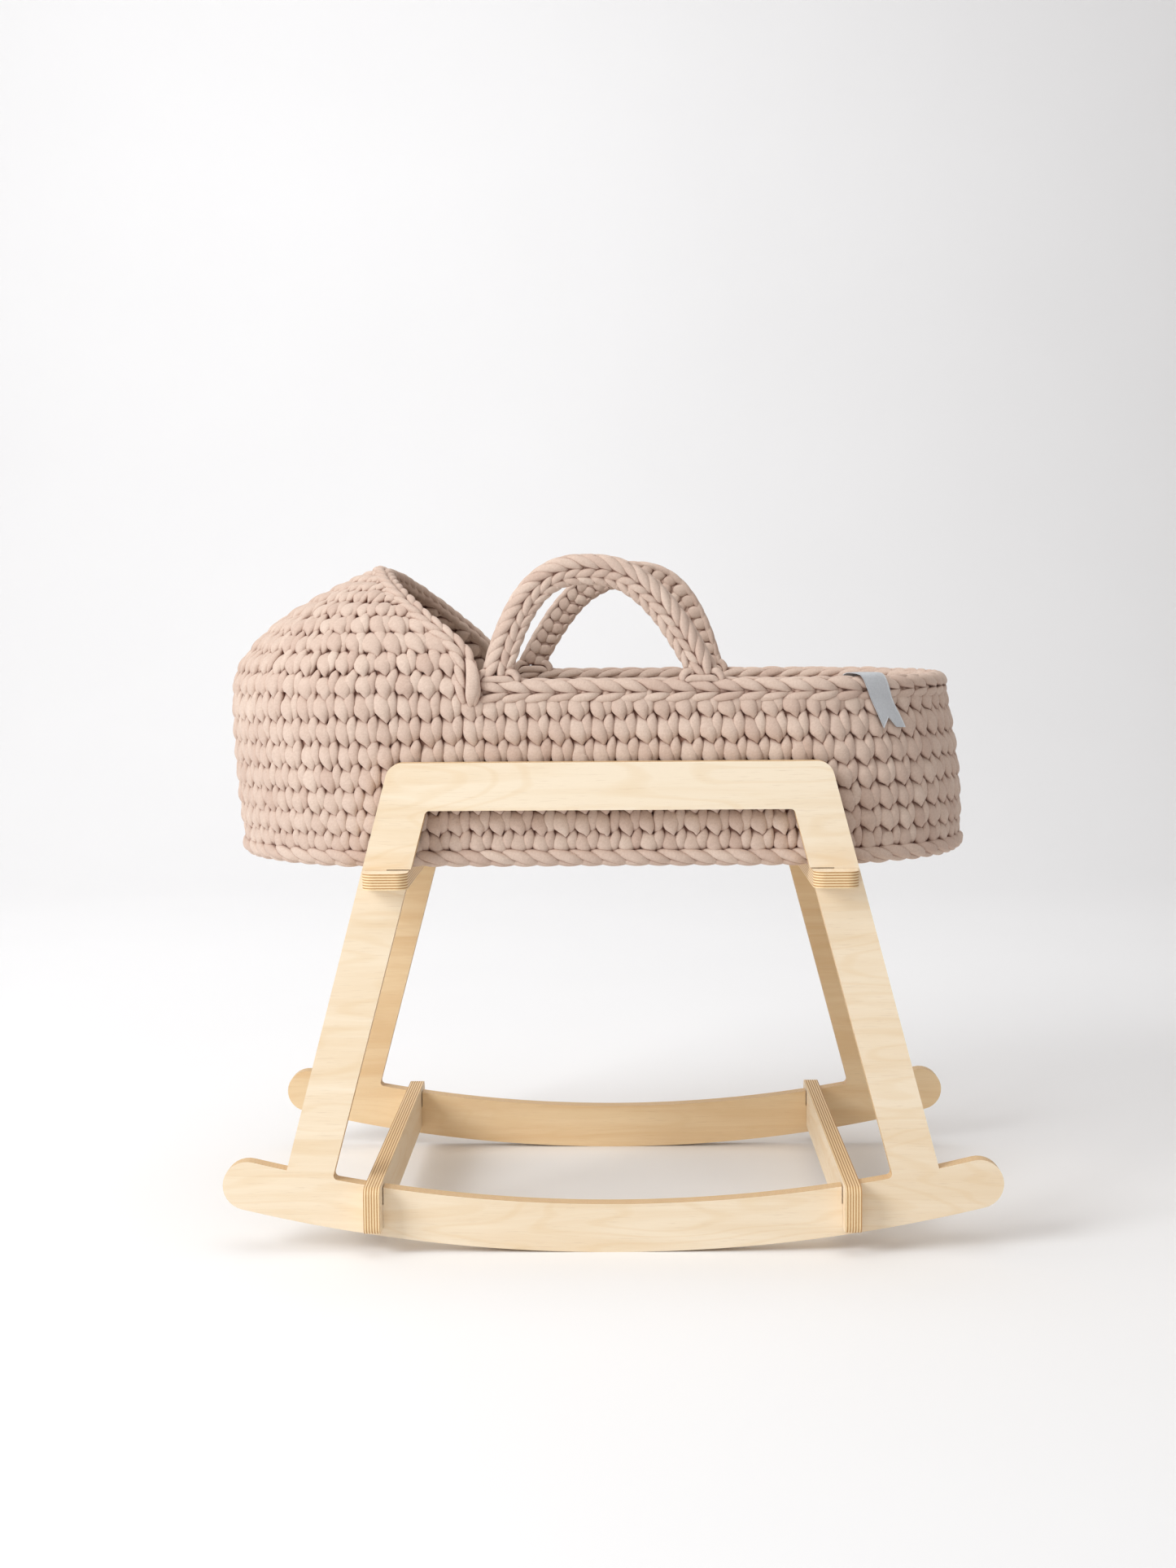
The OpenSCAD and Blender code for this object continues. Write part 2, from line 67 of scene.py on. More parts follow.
STAND_X = (frame_lo[0] + frame_hi[0]) / 2
FLOOR_X = (lace_lo[0] + lace_hi[0]) / 2
FLOOR_Z = lace_lo[2]
LACE_R = (lace_hi[1] - lace_lo[1]) / 2
LACE_H = lace_hi[2] - lace_lo[2]
SIDE_HALF = (lace_hi[0] - lace_lo[0]) / 2 - LACE_R
WALL_TOP = wall_hi[2]
RIM_OUT_R = (rim_hi[1] - rim_lo[1]) / 2
RIM_H = rim_hi[2] - rim_lo[2]
RIM_W = RIM_H
RIM_R = RIM_OUT_R - 0.5         # end radius of the wall where it meets the rim
BELLY_DRAW = 5.5                # how far the wall draws in from its belly to the rim
BELLY_R = RIM_R + BELLY_DRAW
BELLY_AT = 0.45                 # share of the wall's height where it is widest
WALL_LEAN = 14.5                # how far the rim stands towards the hood's end of the floor
WALL_T = 14.0
HOOD_TOP_ANGLE = 84             # arch angle, in degrees, where the CAD closes the crown
HOOD_H = (hood_hi[2] - WALL_TOP) / math.sin(math.radians(HOOD_TOP_ANGLE))
HOOD_BEND_Z = WALL_TOP + 56.0   # the front edge is upright below it and rakes back above
HOOD_RAKE = 1.3
BEND_SOFT = 8.0
HOOD_POWER = 2.15
EDGING_W = 18.0
HOOD_BACK_X = hood_lo[0]
CROWN_FORE = 9.0                # how far the hood's back stands forward at the crown
SHIFT_AT, SHIFT_BY = [-0.9, -0.3, 0.3, 0.9], [-4.0, 10.0, 13.0, 8.0]
SHIFT_UNDER, SHIFT_RISE = 20.0, 70.0


def rise(z):
    return (z - FLOOR_Z) / (WALL_TOP - FLOOR_Z)


def wall_r(z):
    return BELLY_R - BELLY_DRAW * ((rise(z) - BELLY_AT) / (1 - BELLY_AT)) ** 2


def wall_x(z):
    return FLOOR_X - WALL_LEAN * np.maximum(rise(z), 0) ** 1.5


def hood_front(z):
    return (edging_hi[0] - EDGING_W
            - HOOD_RAKE * BEND_SOFT * np.log1p(np.exp((z - HOOD_BEND_Z) / BEND_SOFT)))


def edge_shift(z, y):
    """How far forward the hood's front edge stands off its CAD line: the crown and far side a
    little forward, the near side a little back."""
    lift = np.clip((z - HOOD_BEND_Z + SHIFT_UNDER) / SHIFT_RISE, 0, 1) ** 2
    return lift * np.interp(y / RIM_R, SHIFT_AT, SHIFT_BY)


HOOD_CROWN_X = hood_front(WALL_TOP + HOOD_H) + CROWN_FORE
HOOD_FOOT_X = hood_front(WALL_TOP)
HOOD_STRAIGHT = HOOD_FOOT_X - (wall_x(WALL_TOP) - SIDE_HALF)
HOOD_RUN = 2 * HOOD_STRAIGHT + PI * RIM_R


# ---------- Surfaces that the yarn lies on ----------

def unit(v):
    return v / np.maximum(np.linalg.norm(v, axis=-1, keepdims=True), 1e-9)


def stadium_ring(d, r, c):
    """Place in plan and outward direction at distance d along an outline of end radius r about
    x = c. It starts on the front at the hood's foot and runs towards the hood."""
    d1 = HOOD_FOOT_X - (c - SIDE_HALF)
    d2 = d1 + PI * r
    d3 = d2 + 2 * SIDE_HALF
    d4 = d3 + PI * r
    length = d4 + c + SIDE_HALF - HOOD_FOOT_X
    d = np.mod(d, length)
    a = np.clip((d - d1) / r, 0, PI) + np.clip((d - d3) / r, 0, PI)
    x = (HOOD_FOOT_X - np.clip(d, 0, d1) - r * np.sin(np.clip((d - d1) / r, 0, PI))
         + np.clip(d - d2, 0, 2 * SIDE_HALF) + r * np.sin(np.clip((d - d3) / r, 0, PI))
         - np.clip(d - d4, 0, None))
    y = -r * np.cos(a)
    out = np.stack([-np.sin(a), -np.cos(a), 0 * a], -1)
    return x, y, out, length


def wall_surface(q, z, n):
    """Point and outward direction on the wall: share q of its outline, height z, n outwards."""
    r, c = wall_r(z), wall_x(z)
    length = 4 * SIDE_HALF + 2 * PI * r
    x, y, out, _ = stadium_ring(q * length, r, c)
    p = np.stack([x, y, z + 0 * x], -1)
    return p + out * n[..., None], out


def hood_shape(s, f, k=1.0):
    """Point of the hood's outer face: share s along a course, arch angle f."""
    up = np.sin(f)
    z = WALL_TOP + HOOD_H * up
    d = s * HOOD_RUN
    a = np.clip((d - HOOD_STRAIGHT) / RIM_R, 0, PI)
    base_x = np.minimum(np.minimum(d, HOOD_RUN - d), HOOD_STRAIGHT) + RIM_R * np.sin(a)
    base_y = -RIM_R * np.cos(a)
    low_depth = HOOD_FOOT_X - HOOD_BACK_X
    t = np.clip((z - WALL_TOP) / HOOD_H, 0, 1)
    back = HOOD_CROWN_X - (HOOD_CROWN_X - HOOD_BACK_X) * (1 - t ** HOOD_POWER)
    front = hood_front(z)
    u = (1 - up) * base_x / low_depth + up * np.sin(PI * s)
    v = (1 - up) * base_y / RIM_R - up * np.cos(PI * s)
    y = RIM_R * np.cos(f) * v
    front = front + edge_shift(z, y)
    return np.stack([front - (front - back) * u, y, z], -1)


ARCH_F = np.linspace(0, PI / 2, 400)        # arch angles, and the run up the arch at each
ARCH_M = np.concatenate([[0], np.cumsum(np.hypot(
    RIM_R * np.diff(np.cos(ARCH_F)), HOOD_H * np.diff(np.sin(ARCH_F))))])
HOOD_ARC = ARCH_M[-1]
F_MAX = math.radians(88)


def hood_surface(s, m, n):
    """Point and outward direction on the hood: share s of a course, m up its arch, n outwards."""
    f = np.clip(np.interp(m, ARCH_M, ARCH_F), 0, F_MAX)
    s = np.clip(s, 0.0005, 0.9995)
    e = 0.004
    p = hood_shape(s, f)
    ds = hood_shape(s + e, f) - hood_shape(s - e, f)
    df = hood_shape(s, np.minimum(f + e, 1.57)) - hood_shape(s, f - e)
    out = unit(np.cross(df, ds))
    return p + out * n[..., None], out


# ---------- Meshes ----------

def grid_quads(rows, cols, wrap_rows=False, wrap_cols=False):
    """Quads of a grid of points that are numbered row by row."""
    i, j = np.meshgrid(np.arange(rows if wrap_rows else rows - 1),
                       np.arange(cols if wrap_cols else cols - 1), indexing="ij")
    i2, j2 = (i + 1) % rows, (j + 1) % cols
    return np.stack([i * cols + j, i * cols + j2, i2 * cols + j2, i2 * cols + j],
                    -1).reshape(-1, 4)


def sheet_sides(rows, cols):
    """Quads that join the edges of two such grids, the second numbered on from the first."""
    grid = np.arange(rows * cols).reshape(rows, cols)
    ring = np.concatenate([grid[0], grid[1:, -1], grid[-1, -2::-1], grid[-2:0:-1, 0]])
    after = np.roll(ring, -1)
    return np.stack([ring, ring + rows * cols, after + rows * cols, after], -1)


def run_along(points):
    """Distance along a line of points, from its first one."""
    return np.concatenate([[0], np.cumsum(np.linalg.norm(np.diff(points, axis=0), axis=1))])


def make_piece(name, parts, material, body):
    """One mesh object of several (points in mm, faces, values) parts, riding on a body."""
    points = np.concatenate([p[0].reshape(-1, 3) for p in parts]) * MM
    loops, sizes, start = [], [], 0
    for p in parts:
        for faces in p[1]:
            loops.append((faces + start).ravel())
            sizes.append(np.full(len(faces), faces.shape[1]))
        start += p[0].reshape(-1, 3).shape[0]
    loops, sizes = np.concatenate(loops), np.concatenate(sizes)
    mesh = bpy.data.meshes.new(name)
    mesh.vertices.add(len(points))
    mesh.vertices.foreach_set("co", points.astype(np.float32).ravel())
    mesh.loops.add(len(loops))
    mesh.loops.foreach_set("vertex_index", loops.astype(np.int32))
    mesh.polygons.add(len(sizes))
    starts = np.concatenate([[0], np.cumsum(sizes)[:-1]])
    mesh.polygons.foreach_set("loop_start", starts.astype(np.int32))
    mesh.polygons.foreach_set("use_smooth", np.full(len(sizes), True))
    mesh.update(calc_edges=True)
    mesh.validate()
    if all(len(p) > 2 for p in parts):
        values = np.concatenate([p[2].reshape(-1, 3) for p in parts])
        layer = mesh.attributes.new("strand", "FLOAT_VECTOR", "POINT")
        layer.data.foreach_set("vector", values.astype(np.float32).ravel())
    mesh.materials.append(material)
    obj = bpy.data.objects.new(name, mesh)
    scene.collection.objects.link(obj)
    if body:
        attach(obj, body)
    return obj


def spline(count, stations):
    """Weights that turn count control values into a smooth row of values at the stations."""
    at = np.asarray(stations) * (count - 1)
    i = np.clip(np.floor(at).astype(int), 0, count - 2)
    t = at - i
    w = np.zeros((len(at), count))
    basis = [-t ** 3 + 2 * t ** 2 - t, 3 * t ** 3 - 5 * t ** 2 + 2,
             -3 * t ** 3 + 4 * t ** 2 + t, t ** 3 - t ** 2]
    for k, b in enumerate(basis):
        np.add.at(w, (np.arange(len(at)), np.clip(i + k - 1, 0, count - 1)), b / 2)
    return w


STRAND_SIDES = 14
STRAND_SQUARE = 0.8     # 1 is an ellipse, less is squarer
TIP_REACH = 0.6         # how far a strand's tip goes on, in half thicknesses


def strands(path, out, half_w, half_t, tint):
    """Closed tapering strands: path and outward direction (k, m, 3), half width and half
    thickness (k, m), tint (k,)."""
    k, m = path.shape[:2]
    sides = STRAND_SIDES
    along = unit(np.gradient(path, axis=1))
    across = unit(np.cross(along, out))
    up = np.cross(across, along)
    psi = np.arange(sides) / sides * 2 * PI - PI / 2
    c = np.sign(np.cos(psi)) * np.abs(np.cos(psi)) ** STRAND_SQUARE
    s = np.sign(np.sin(psi)) * np.abs(np.sin(psi)) ** STRAND_SQUARE
    rings = (path[:, :, None] + across[:, :, None] * (half_w[..., None] * c)[..., None]
             + up[:, :, None] * (half_t[..., None] * s)[..., None])
    tips = np.stack([path[:, 0] - along[:, 0] * half_t[:, :1] * TIP_REACH,
                     path[:, -1] + along[:, -1] * half_t[:, -1:] * TIP_REACH], 1)
    points = np.concatenate([rings.reshape(k, m * sides, 3), tips], 1)
    run = np.concatenate([np.zeros((k, 1)), np.cumsum(
        np.linalg.norm(np.diff(path, axis=1), axis=-1), 1)], 1)
    girth = 2 * PI * np.sqrt((half_w ** 2 + half_t ** 2) / 2).max(1)
    values = np.zeros((k, m * sides + 2, 3))
    values[:, :m * sides, 0] = np.repeat(run, sides, 1)
    values[:, -1, 0] = run[:, -1]
    values[:, :m * sides, 1] = np.tile(np.arange(sides) / sides, m) * girth[:, None]
    values[..., 2] = tint[:, None]
    quads = grid_quads(m, sides, wrap_cols=True)[:, [0, 3, 2, 1]]
    j, j2 = np.arange(sides), (np.arange(sides) + 1) % sides
    caps = np.concatenate([
        np.stack([j, j2, np.full(sides, m * sides)], -1),
        np.stack([(m - 1) * sides + j2, (m - 1) * sides + j, np.full(sides, m * sides + 1)], -1)])
    shift = (np.arange(k) * (m * sides + 2))[:, None, None]
    return points, [(quads + shift).reshape(-1, 4), (caps + shift).reshape(-1, 3)], values


MIN_HALF_W, MIN_HALF_T = 0.5, 0.4


def leaves(place, at, controls, width=1.0, sections=17, jitter=0.05):
    """Leaf-shaped strands on a surface.

    place turns (right, up, outwards, leaf index) arrays into points and outward directions.
    controls are rows of (right, up, outwards, half width, half thickness). right and up are in
    the units that place takes, half width is in widths, and the rest in millimetres."""
    k = len(at)
    controls = np.asarray(controls, float)
    w = spline(len(controls), np.linspace(0, 1, sections))
    c = np.repeat(controls[None], k, 0)
    c[..., 0] += rng.normal(0, jitter * 0.5, (k, 1))
    c[:, 1:-1, :2] += rng.normal(0, jitter * 0.35, (k, len(controls) - 2, 2))
    c[..., 1] += rng.normal(0, jitter * 0.5, (k, 1))
    c[..., 2] += rng.normal(0, jitter * 6, (k, 1))
    c[..., 3] *= 1 + rng.normal(0, jitter, (k, 1))
    c[..., 4] *= 1 + rng.normal(0, jitter, (k, 1))
    v = np.einsum("mc,kcd->kmd", w, c)
    path, out = place(v[..., 0], v[..., 1], v[..., 2], at)
    half_w = np.maximum(v[..., 3] * width, MIN_HALF_W)
    half_t = np.maximum(v[..., 4], MIN_HALF_T)
    return strands(path, out, half_w, half_t, np.clip(rng.normal(0.5, 0.22, k), 0, 1))


# One crochet stitch seen from outside: a fat leaf over a thinner one, both ending at the tip.
# Rows are (right, up, outwards, half width, half thickness) from the top to the tip.
FAT_LEAF = [
    (-0.42, 1.34, -13.0, 0.04, 2.0), (-0.34, 1.16, -11.0, 0.22, 4.0),
    (-0.26, 0.98, -8.2, 0.34, 5.2), (-0.20, 0.78, -6.0, 0.41, 6.0),
    (-0.13, 0.58, -4.8, 0.42, 6.2), (-0.06, 0.38, -4.2, 0.35, 6.0),
    (0.00, 0.18, -4.6, 0.19, 4.8), (0.03, -0.02, -6.0, 0.03, 2.6)]
THIN_LEAF = [
    (0.43, 1.46, -10.0, 0.03, 1.8), (0.39, 1.28, -7.0, 0.15, 3.6), (0.34, 1.03, -5.2, 0.25, 4.8),
    (0.31, 0.76, -4.6, 0.29, 5.2), (0.28, 0.52, -5.2, 0.27, 5.2), (0.21, 0.29, -7.2, 0.18, 4.6),
    (0.12, 0.09, -10.5, 0.07, 3.0)]
# One block of the inside: a rounded bar along the row.
BLOCK = [
    (-0.50, 0.0, 1.5, 0.20, 2.6), (-0.36, 0.0, 3.6, 0.34, 4.2), (0.0, 0.0, 4.6, 0.38, 5.0),
    (0.36, 0.0, 3.6, 0.34, 4.2), (0.50, 0.0, 1.5, 0.20, 2.6)]


# ---------- Materials ----------

def node_material(name, roughness, sheen=0.0):
    """New material, with its node tree and its shader."""
    material = bpy.data.materials.new(name)
    material.use_nodes = True
    tree = material.node_tree
    shader = tree.nodes["Principled BSDF"]
    shader.inputs["Roughness"].default_value = roughness
    shader.inputs["Sheen Weight"].default_value = sheen
    shader.inputs["Sheen Roughness"].default_value = 0.6
    shader.inputs["Specular IOR Level"].default_value = 0.25
    return material, tree, shader


def srgb(r, g, b):
    """Linear colour with alpha, from 8-bit display values."""
    v = [c / 255 for c in (r, g, b)]
    return tuple(c / 12.92 if c <= 0.04045 else ((c + 0.055) / 1.055) ** 2.4 for c in v) + (1,)


def fill(tree, socket, value):
    """Set an input to a number or colour, or link it to an output."""
    if isinstance(value, (int, float, tuple)):
        socket.default_value = value
    else:
        tree.links.new(value, socket)


def new_node(tree, kind, **inputs):
    """New node with its inputs set or linked; _ stands for a space in an input's name."""
    node = tree.nodes.new("ShaderNode" + kind)
    for name, value in inputs.items():
        fill(tree, node.inputs[name.replace("_", " ")], value)
    return node


def math_node(tree, kind, a, b=0):
    node = tree.nodes.new("ShaderNodeMath")
    node.operation = kind
    fill(tree, node.inputs[0], a)
    fill(tree, node.inputs[1], b)
    return node.outputs[0]


def times(tree, a, b):
    return math_node(tree, "MULTIPLY", a, b)


def plus(tree, a, b):
    return math_node(tree, "ADD", a, b)


def inverse(tree, value):
    return math_node(tree, "SUBTRACT", 1.0, value)


def sine(tree, value, rate):
    return math_node(tree, "SINE", times(tree, value, rate))


def mix_colour(tree, share, a, b, blend="MIX"):
    node = tree.nodes.new("ShaderNodeMix")
    node.data_type = "RGBA"
    node.blend_type = blend
    for socket, value in ((node.inputs[0], share), (node.inputs[6], a), (node.inputs[7], b)):
        fill(tree, socket, value)
    return node.outputs[2]


def noise(tree, vector, scale, detail=3, rough=0.55, distortion=0.0):
    return new_node(tree, "TexNoise", Vector=vector, Scale=scale, Detail=detail,
                    Roughness=rough, Distortion=distortion).outputs[0]


def scaled(tree, vector, scale):
    return new_node(tree, "Mapping", Vector=vector, Scale=tuple(scale)).outputs[0]


def ramp(tree, value, lo, hi):
    """0 below lo, 1 above hi."""
    return new_node(tree, "MapRange", Value=value, From_Min=lo, From_Max=hi).outputs[0]


def split(tree, vector):
    """The three parts of a vector."""
    return new_node(tree, "SeparateXYZ", Vector=vector).outputs


def strand_values(tree):
    """Run along a strand and round it in millimetres, and its tint."""
    node = tree.nodes.new("ShaderNodeAttribute")
    node.attribute_name = "strand"
    return split(tree, node.outputs["Vector"])


def object_place(tree):
    return tree.nodes.new("ShaderNodeTexCoord").outputs["Object"]


def stain(tree, base, share, shade, dark):
    """Multiply base by dark where shade is 0, at this share."""
    tint = mix_colour(tree, shade, dark, (1, 1, 1, 1))
    return mix_colour(tree, share, base, tint, "MULTIPLY")


def bump(tree, shader, height, strength, distance):
    node = new_node(tree, "Bump", Height=height, Strength=strength, Distance=distance)
    tree.links.new(node.outputs[0], shader.inputs["Normal"])


GROOVE_SHADE_REACH = 0.0055       # metres from a strand within which another one darkens it: painted shade in the grooves between strands
GROOVE_SHADE_STRENGTH = 0.95
GROOVE_SHADE_TINT = (0.31, 0.135, 0.085, 1)
COURSE_TINT, COURSE_SHARE = (0.60, 0.50, 0.44, 1), 0.24
GRAIN_TINT, GRAIN_SHARE = (0.62, 0.52, 0.46, 1), 0.20
MOTTLE_TINT, MOTTLE_SHARE = (0.66, 0.58, 0.52, 1), 0.14


def yarn_material(name, pale, deep):
    """Cotton jersey yarn: fine knitted courses across the strand, a slight mottle and fuzz, and
    painted shade that darkens it where another strand lies close.
    """
    material, tree, shader = node_material(name, 0.92, 0.25)
    shader.inputs["Sheen Tint"].default_value = srgb(250, 236, 226)
    along, around, tint = strand_values(tree)
    where = object_place(tree)
    flat = new_node(tree, "CombineXYZ", X=along, Y=times(tree, around, 0.35),
                    Z=times(tree, tint, 40.0))
    courses = noise(tree, flat.outputs[0], 0.95, 2, 0.6)
    ribs = sine(tree, around, 5.2)
    grain = noise(tree, where, 420, 3, 0.75)
    mottle = noise(tree, where, 70, 3, 0.6)
    base = mix_colour(tree, tint, deep, pale)
    base = stain(tree, base, COURSE_SHARE, ramp(tree, courses, 0.30, 0.72), COURSE_TINT)
    base = stain(tree, base, GRAIN_SHARE, ramp(tree, grain, 0.36, 0.62), GRAIN_TINT)
    base = stain(tree, base, MOTTLE_SHARE, ramp(tree, mottle, 0.3, 0.7), MOTTLE_TINT)
    # painted shade: the base colour turns darker and redder where an ambient occlusion node finds
    # other strands close, standing in for shade in the grooves
    groove_shade = new_node(tree, "AmbientOcclusion", Distance=GROOVE_SHADE_REACH)
    groove_shade.samples = 5
    groove_shade_share = inverse(tree, ramp(tree, groove_shade.outputs["AO"], 0.22, 0.80))
    dark = mix_colour(tree, 1.0, base, GROOVE_SHADE_TINT, "MULTIPLY")
    base = mix_colour(tree, times(tree, groove_shade_share, GROOVE_SHADE_STRENGTH), base, dark)
    tree.links.new(base, shader.inputs["Base Color"])
    height = plus(tree, times(tree, courses, 0.7), times(tree, ribs, 0.08))
    height = plus(tree, height, times(tree, grain, 0.35))
    bump(tree, shader, height, 0.55, 0.0006)
    return material


PLY_PAIR = 0.0029           # metres from one dark ply to the next


def grained(tree, where, axis, across, along):
    """Coordinates for a pattern drawn out along one axis."""
    scale = [across, across, across]
    scale[axis] = along
    return scaled(tree, where, scale)


def plywood_material(name, stack, grain, face, deep):
    """Birch plywood: rotary-cut veneer on the faces, its plies on the edges. stack is the axis
    through the board and grain the axis that its face veneer runs along."""
    material, tree, shader = node_material(name, 0.5)
    texture = tree.nodes.new("ShaderNodeTexCoord")
    where = texture.outputs["Object"]
    long = grained(tree, where, grain, 34.0, 2.2)
    bend = noise(tree, long, 0.35, 3, 0.5)
    rings = noise(tree, long, 0.9, 5, 0.62, distortion=1.1)
    pores = noise(tree, grained(tree, where, grain, 900.0, 45.0), 1.0, 2)
    veneer = noise(tree, grained(tree, where, grain, 28.0, 5.5), 0.5, 2, 0.45)
    contour = sine(tree, veneer, 85.0)
    pore_share = times(tree, ramp(tree, pores, 0.60, 0.80), 0.22)
    contour_share = times(tree, ramp(tree, contour, 0.45, 1.0), 0.20)
    tone = mix_colour(tree, ramp(tree, rings, 0.40, 0.66), face, deep)
    tone = mix_colour(tree, times(tree, ramp(tree, bend, 0.45, 0.75), 0.5), tone, deep)
    tone = mix_colour(tree, pore_share, tone, srgb(176, 136, 92))
    tone = mix_colour(tree, contour_share, tone, srgb(226, 194, 146))
    # plies: light long-grain and darker end-grain layers in turn, seen where the board is cut
    wave = sine(tree, split(tree, where)[stack], 2 * PI / PLY_PAIR)
    grit = times(tree, noise(tree, where, 700, 3), 0.9)
    layer = ramp(tree, plus(tree, wave, grit), 0.35, 0.95)
    cut = mix_colour(tree, layer, srgb(240, 214, 170), srgb(186, 140, 92))
    facing = math_node(tree, "ABSOLUTE", split(tree, texture.outputs["Normal"])[stack])
    faced = ramp(tree, facing, 0.55, 0.62)
    tree.links.new(mix_colour(tree, faced, cut, tone), shader.inputs["Base Color"])
    rough = plus(tree, times(tree, pores, 0.2), 0.42)
    tree.links.new(rough, shader.inputs["Roughness"])
    plies = times(tree, inverse(tree, faced), times(tree, layer, -0.6))
    bump(tree, shader, plus(tree, pores, plies), 0.25, 0.0004)
    return material


YARN_PALE, YARN_DEEP = srgb(224, 204, 189), srgb(207, 182, 167)
yarn = yarn_material("jersey_yarn", YARN_PALE, YARN_DEEP)
# painted shade: a darker yarn for the core behind the stitches, so the gaps between stitches look
# shaded
shaded_core_yarn = yarn_material("jersey_yarn_core_painted_shade", srgb(190, 156, 140), srgb(170, 136, 120))
BIRCH, BIRCH_DEEP = srgb(244, 228, 203), srgb(236, 214, 182)
X, Y, Z = 0, 1, 2
frame_ply = plywood_material("birch_side_frame", Y, X, BIRCH, BIRCH_DEEP)
# painted shade: the back frame gets a darker, warmer copy of the birch, as it stands in shade
# behind the basket
shaded_back_ply = plywood_material("birch_back_frame_painted_shade", Y, X, srgb(236, 210, 171), srgb(226, 193, 149))
plate_ply = plywood_material("birch_cross_plate", Z, Y, BIRCH, BIRCH_DEEP)
stretcher_ply = plywood_material("birch_stretcher", X, Y, BIRCH, BIRCH_DEEP)
board_ply = plywood_material("birch_floor_board", Z, X, BIRCH, BIRCH_DEEP)


def yarn_piece(name, parts, node, body="basket", material=yarn):
    """A piece of pink yarn, shown for a CAD node."""
    piece = make_piece(name, parts, material, body)
    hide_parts(node)


# ---------- Crocheted wall ----------

PITCH = 23.0
wall_length = 4 * SIDE_HALF + 2 * PI * RIM_R
COLUMNS = round(wall_length / PITCH)
ROWS = 7
DRIFT_SIDE, DRIFT_END = 0.04, 0.20      # columns that a stitch leans over one row
FIRST_TIP_Z = WALL_TOP - 21.0
ROW_STEP, ROW_SHRINK = 26.4, 0.35
ROW_TILT, ROW_TILT_RUN = 2.5, 250       # rows rise by this over this run towards the foot end


def row_tip(row):
    """Height of the stitch tips of one row, counted from the top."""
    return FIRST_TIP_Z - ROW_STEP * row + ROW_SHRINK * row ** 2


def wall_place(row):
    z0, above = row_tip(row), row_tip(row - 1)
    sunk = 3.0 if row == ROWS - 1 else 0.0

    def place(right, up, n, column):
        q0 = (column[:, None] + 0.5) / COLUMNS
        x = stadium_ring(q0 * wall_length, RIM_R, wall_x(WALL_TOP))[0]
        end = np.clip(np.abs(x - FLOOR_X) / (SIDE_HALF + RIM_R), 0, 1)
        drift = DRIFT_SIDE + (DRIFT_END - DRIFT_SIDE) * end ** 2
        q = q0 - (drift * (row - up) + right) / COLUMNS
        z = z0 + up * (above - z0) + ROW_TILT * (x - STAND_X) / ROW_TILT_RUN * rise(z0)
        return wall_surface(q, z, n - sunk * np.clip(1 - up, 0, 1))
    return place


columns = np.arange(COLUMNS)
for row in range(ROWS):
    parts = [leaves(wall_place(row), columns, THIN_LEAF, PITCH),
             leaves(wall_place(row), columns, FAT_LEAF, PITCH)]
    yarn_piece(f"wall_row_{row + 1}", parts, "basket_wall")

INSIDE_ROWS = 8
BAR_IN = 4.6            # middle of an inside bar, off the wall's inner face
INSIDE_STEP = (WALL_TOP + 6 - (FLOOR_Z + LACE_H)) / INSIDE_ROWS


def inside_place(row):
    z0 = FLOOR_Z + LACE_H + (row + 0.3) * INSIDE_STEP

    def place(right, up, n, column):
        q = (column[:, None] + 0.5 * (row % 2) - right) / COLUMNS
        z = z0 + up * INSIDE_STEP + 0 * right
        p, out = wall_surface(q, z, -WALL_T + BAR_IN - n)
        return p, -out
    return place


for row in range(INSIDE_ROWS):
    bars = leaves(inside_place(row), columns, BLOCK, INSIDE_STEP, sections=9, jitter=0.04)
    yarn_piece(f"wall_inside_row_{row + 1}", [bars], "basket_wall")


def shell_part(outer, inner):
    """Closed ring-shaped shell from (levels, stations, 3) grids that join up round the basket."""
    m, n = outer.shape[:2]
    loop = np.concatenate([outer, inner[::-1]])
    values = np.zeros(loop.shape)
    values[..., 2] = 0.5
    return loop, [grid_quads(2 * m, n, True, True)], values


CORE_OUT, CORE_IN = -7.0, -9.5          # faces of the thin core behind the stitches; its darker yarn is painted shade in the gaps between stitches
q, z = np.meshgrid(np.arange(240) / 240, np.linspace(FLOOR_Z + 10, WALL_TOP + 6, 14))
backing = shell_part(wall_surface(q, z, np.full(q.shape, CORE_OUT))[0],
                     wall_surface(q, z, np.full(q.shape, CORE_IN))[0])
# the wall's core shell is drawn in the darker yarn, painted shade behind the stitches
yarn_piece("wall_shaded_core", [backing], "basket_wall", material=shaded_core_yarn)


# ---------- Hood ----------

HOOD_ROW_H = 25.0
HOOD_ROWS = int(HOOD_ARC / HOOD_ROW_H) - 1
INNER_ROW_H = HOOD_ROW_H * 0.94
TURN, TURN_REACH = np.radians(62), 60   # of the stitches near the front edge
TURN_FROM, TURN_OVER = 45, 70           # run up the arch over which it sets in
TURN_MID = 12                           # height in a stitch that it turns about


def course_length(m):
    s = np.linspace(0, 1, 120)
    p = hood_shape(s, np.full(120, min(float(np.interp(m, ARCH_M, ARCH_F)), F_MAX)))
    return np.linalg.norm(np.diff(p, axis=0), axis=1).sum()


def hood_place(m0, count):
    length = course_length(m0 + 8)
    pitch = length / count

    def place(right, up, n, column):
        s0 = (column[:, None] + 0.5) / count
        edge = np.minimum(s0, 1 - s0) * length
        # near the front edge the upper stitches turn until they point away from it
        turn = (TURN * np.exp(-(edge / TURN_REACH) ** 2)
                * np.clip((m0 - TURN_FROM) / TURN_OVER, 0, 1) * np.sign(0.5 - s0))
        x, y = right * pitch, up * HOOD_ROW_H
        xr = x * np.cos(turn) + (y - TURN_MID) * np.sin(turn)
        yr = -x * np.sin(turn) + (y - TURN_MID) * np.cos(turn) + TURN_MID
        s = s0 - xr / length
        return hood_surface(s, m0 + yr, n)
    return place


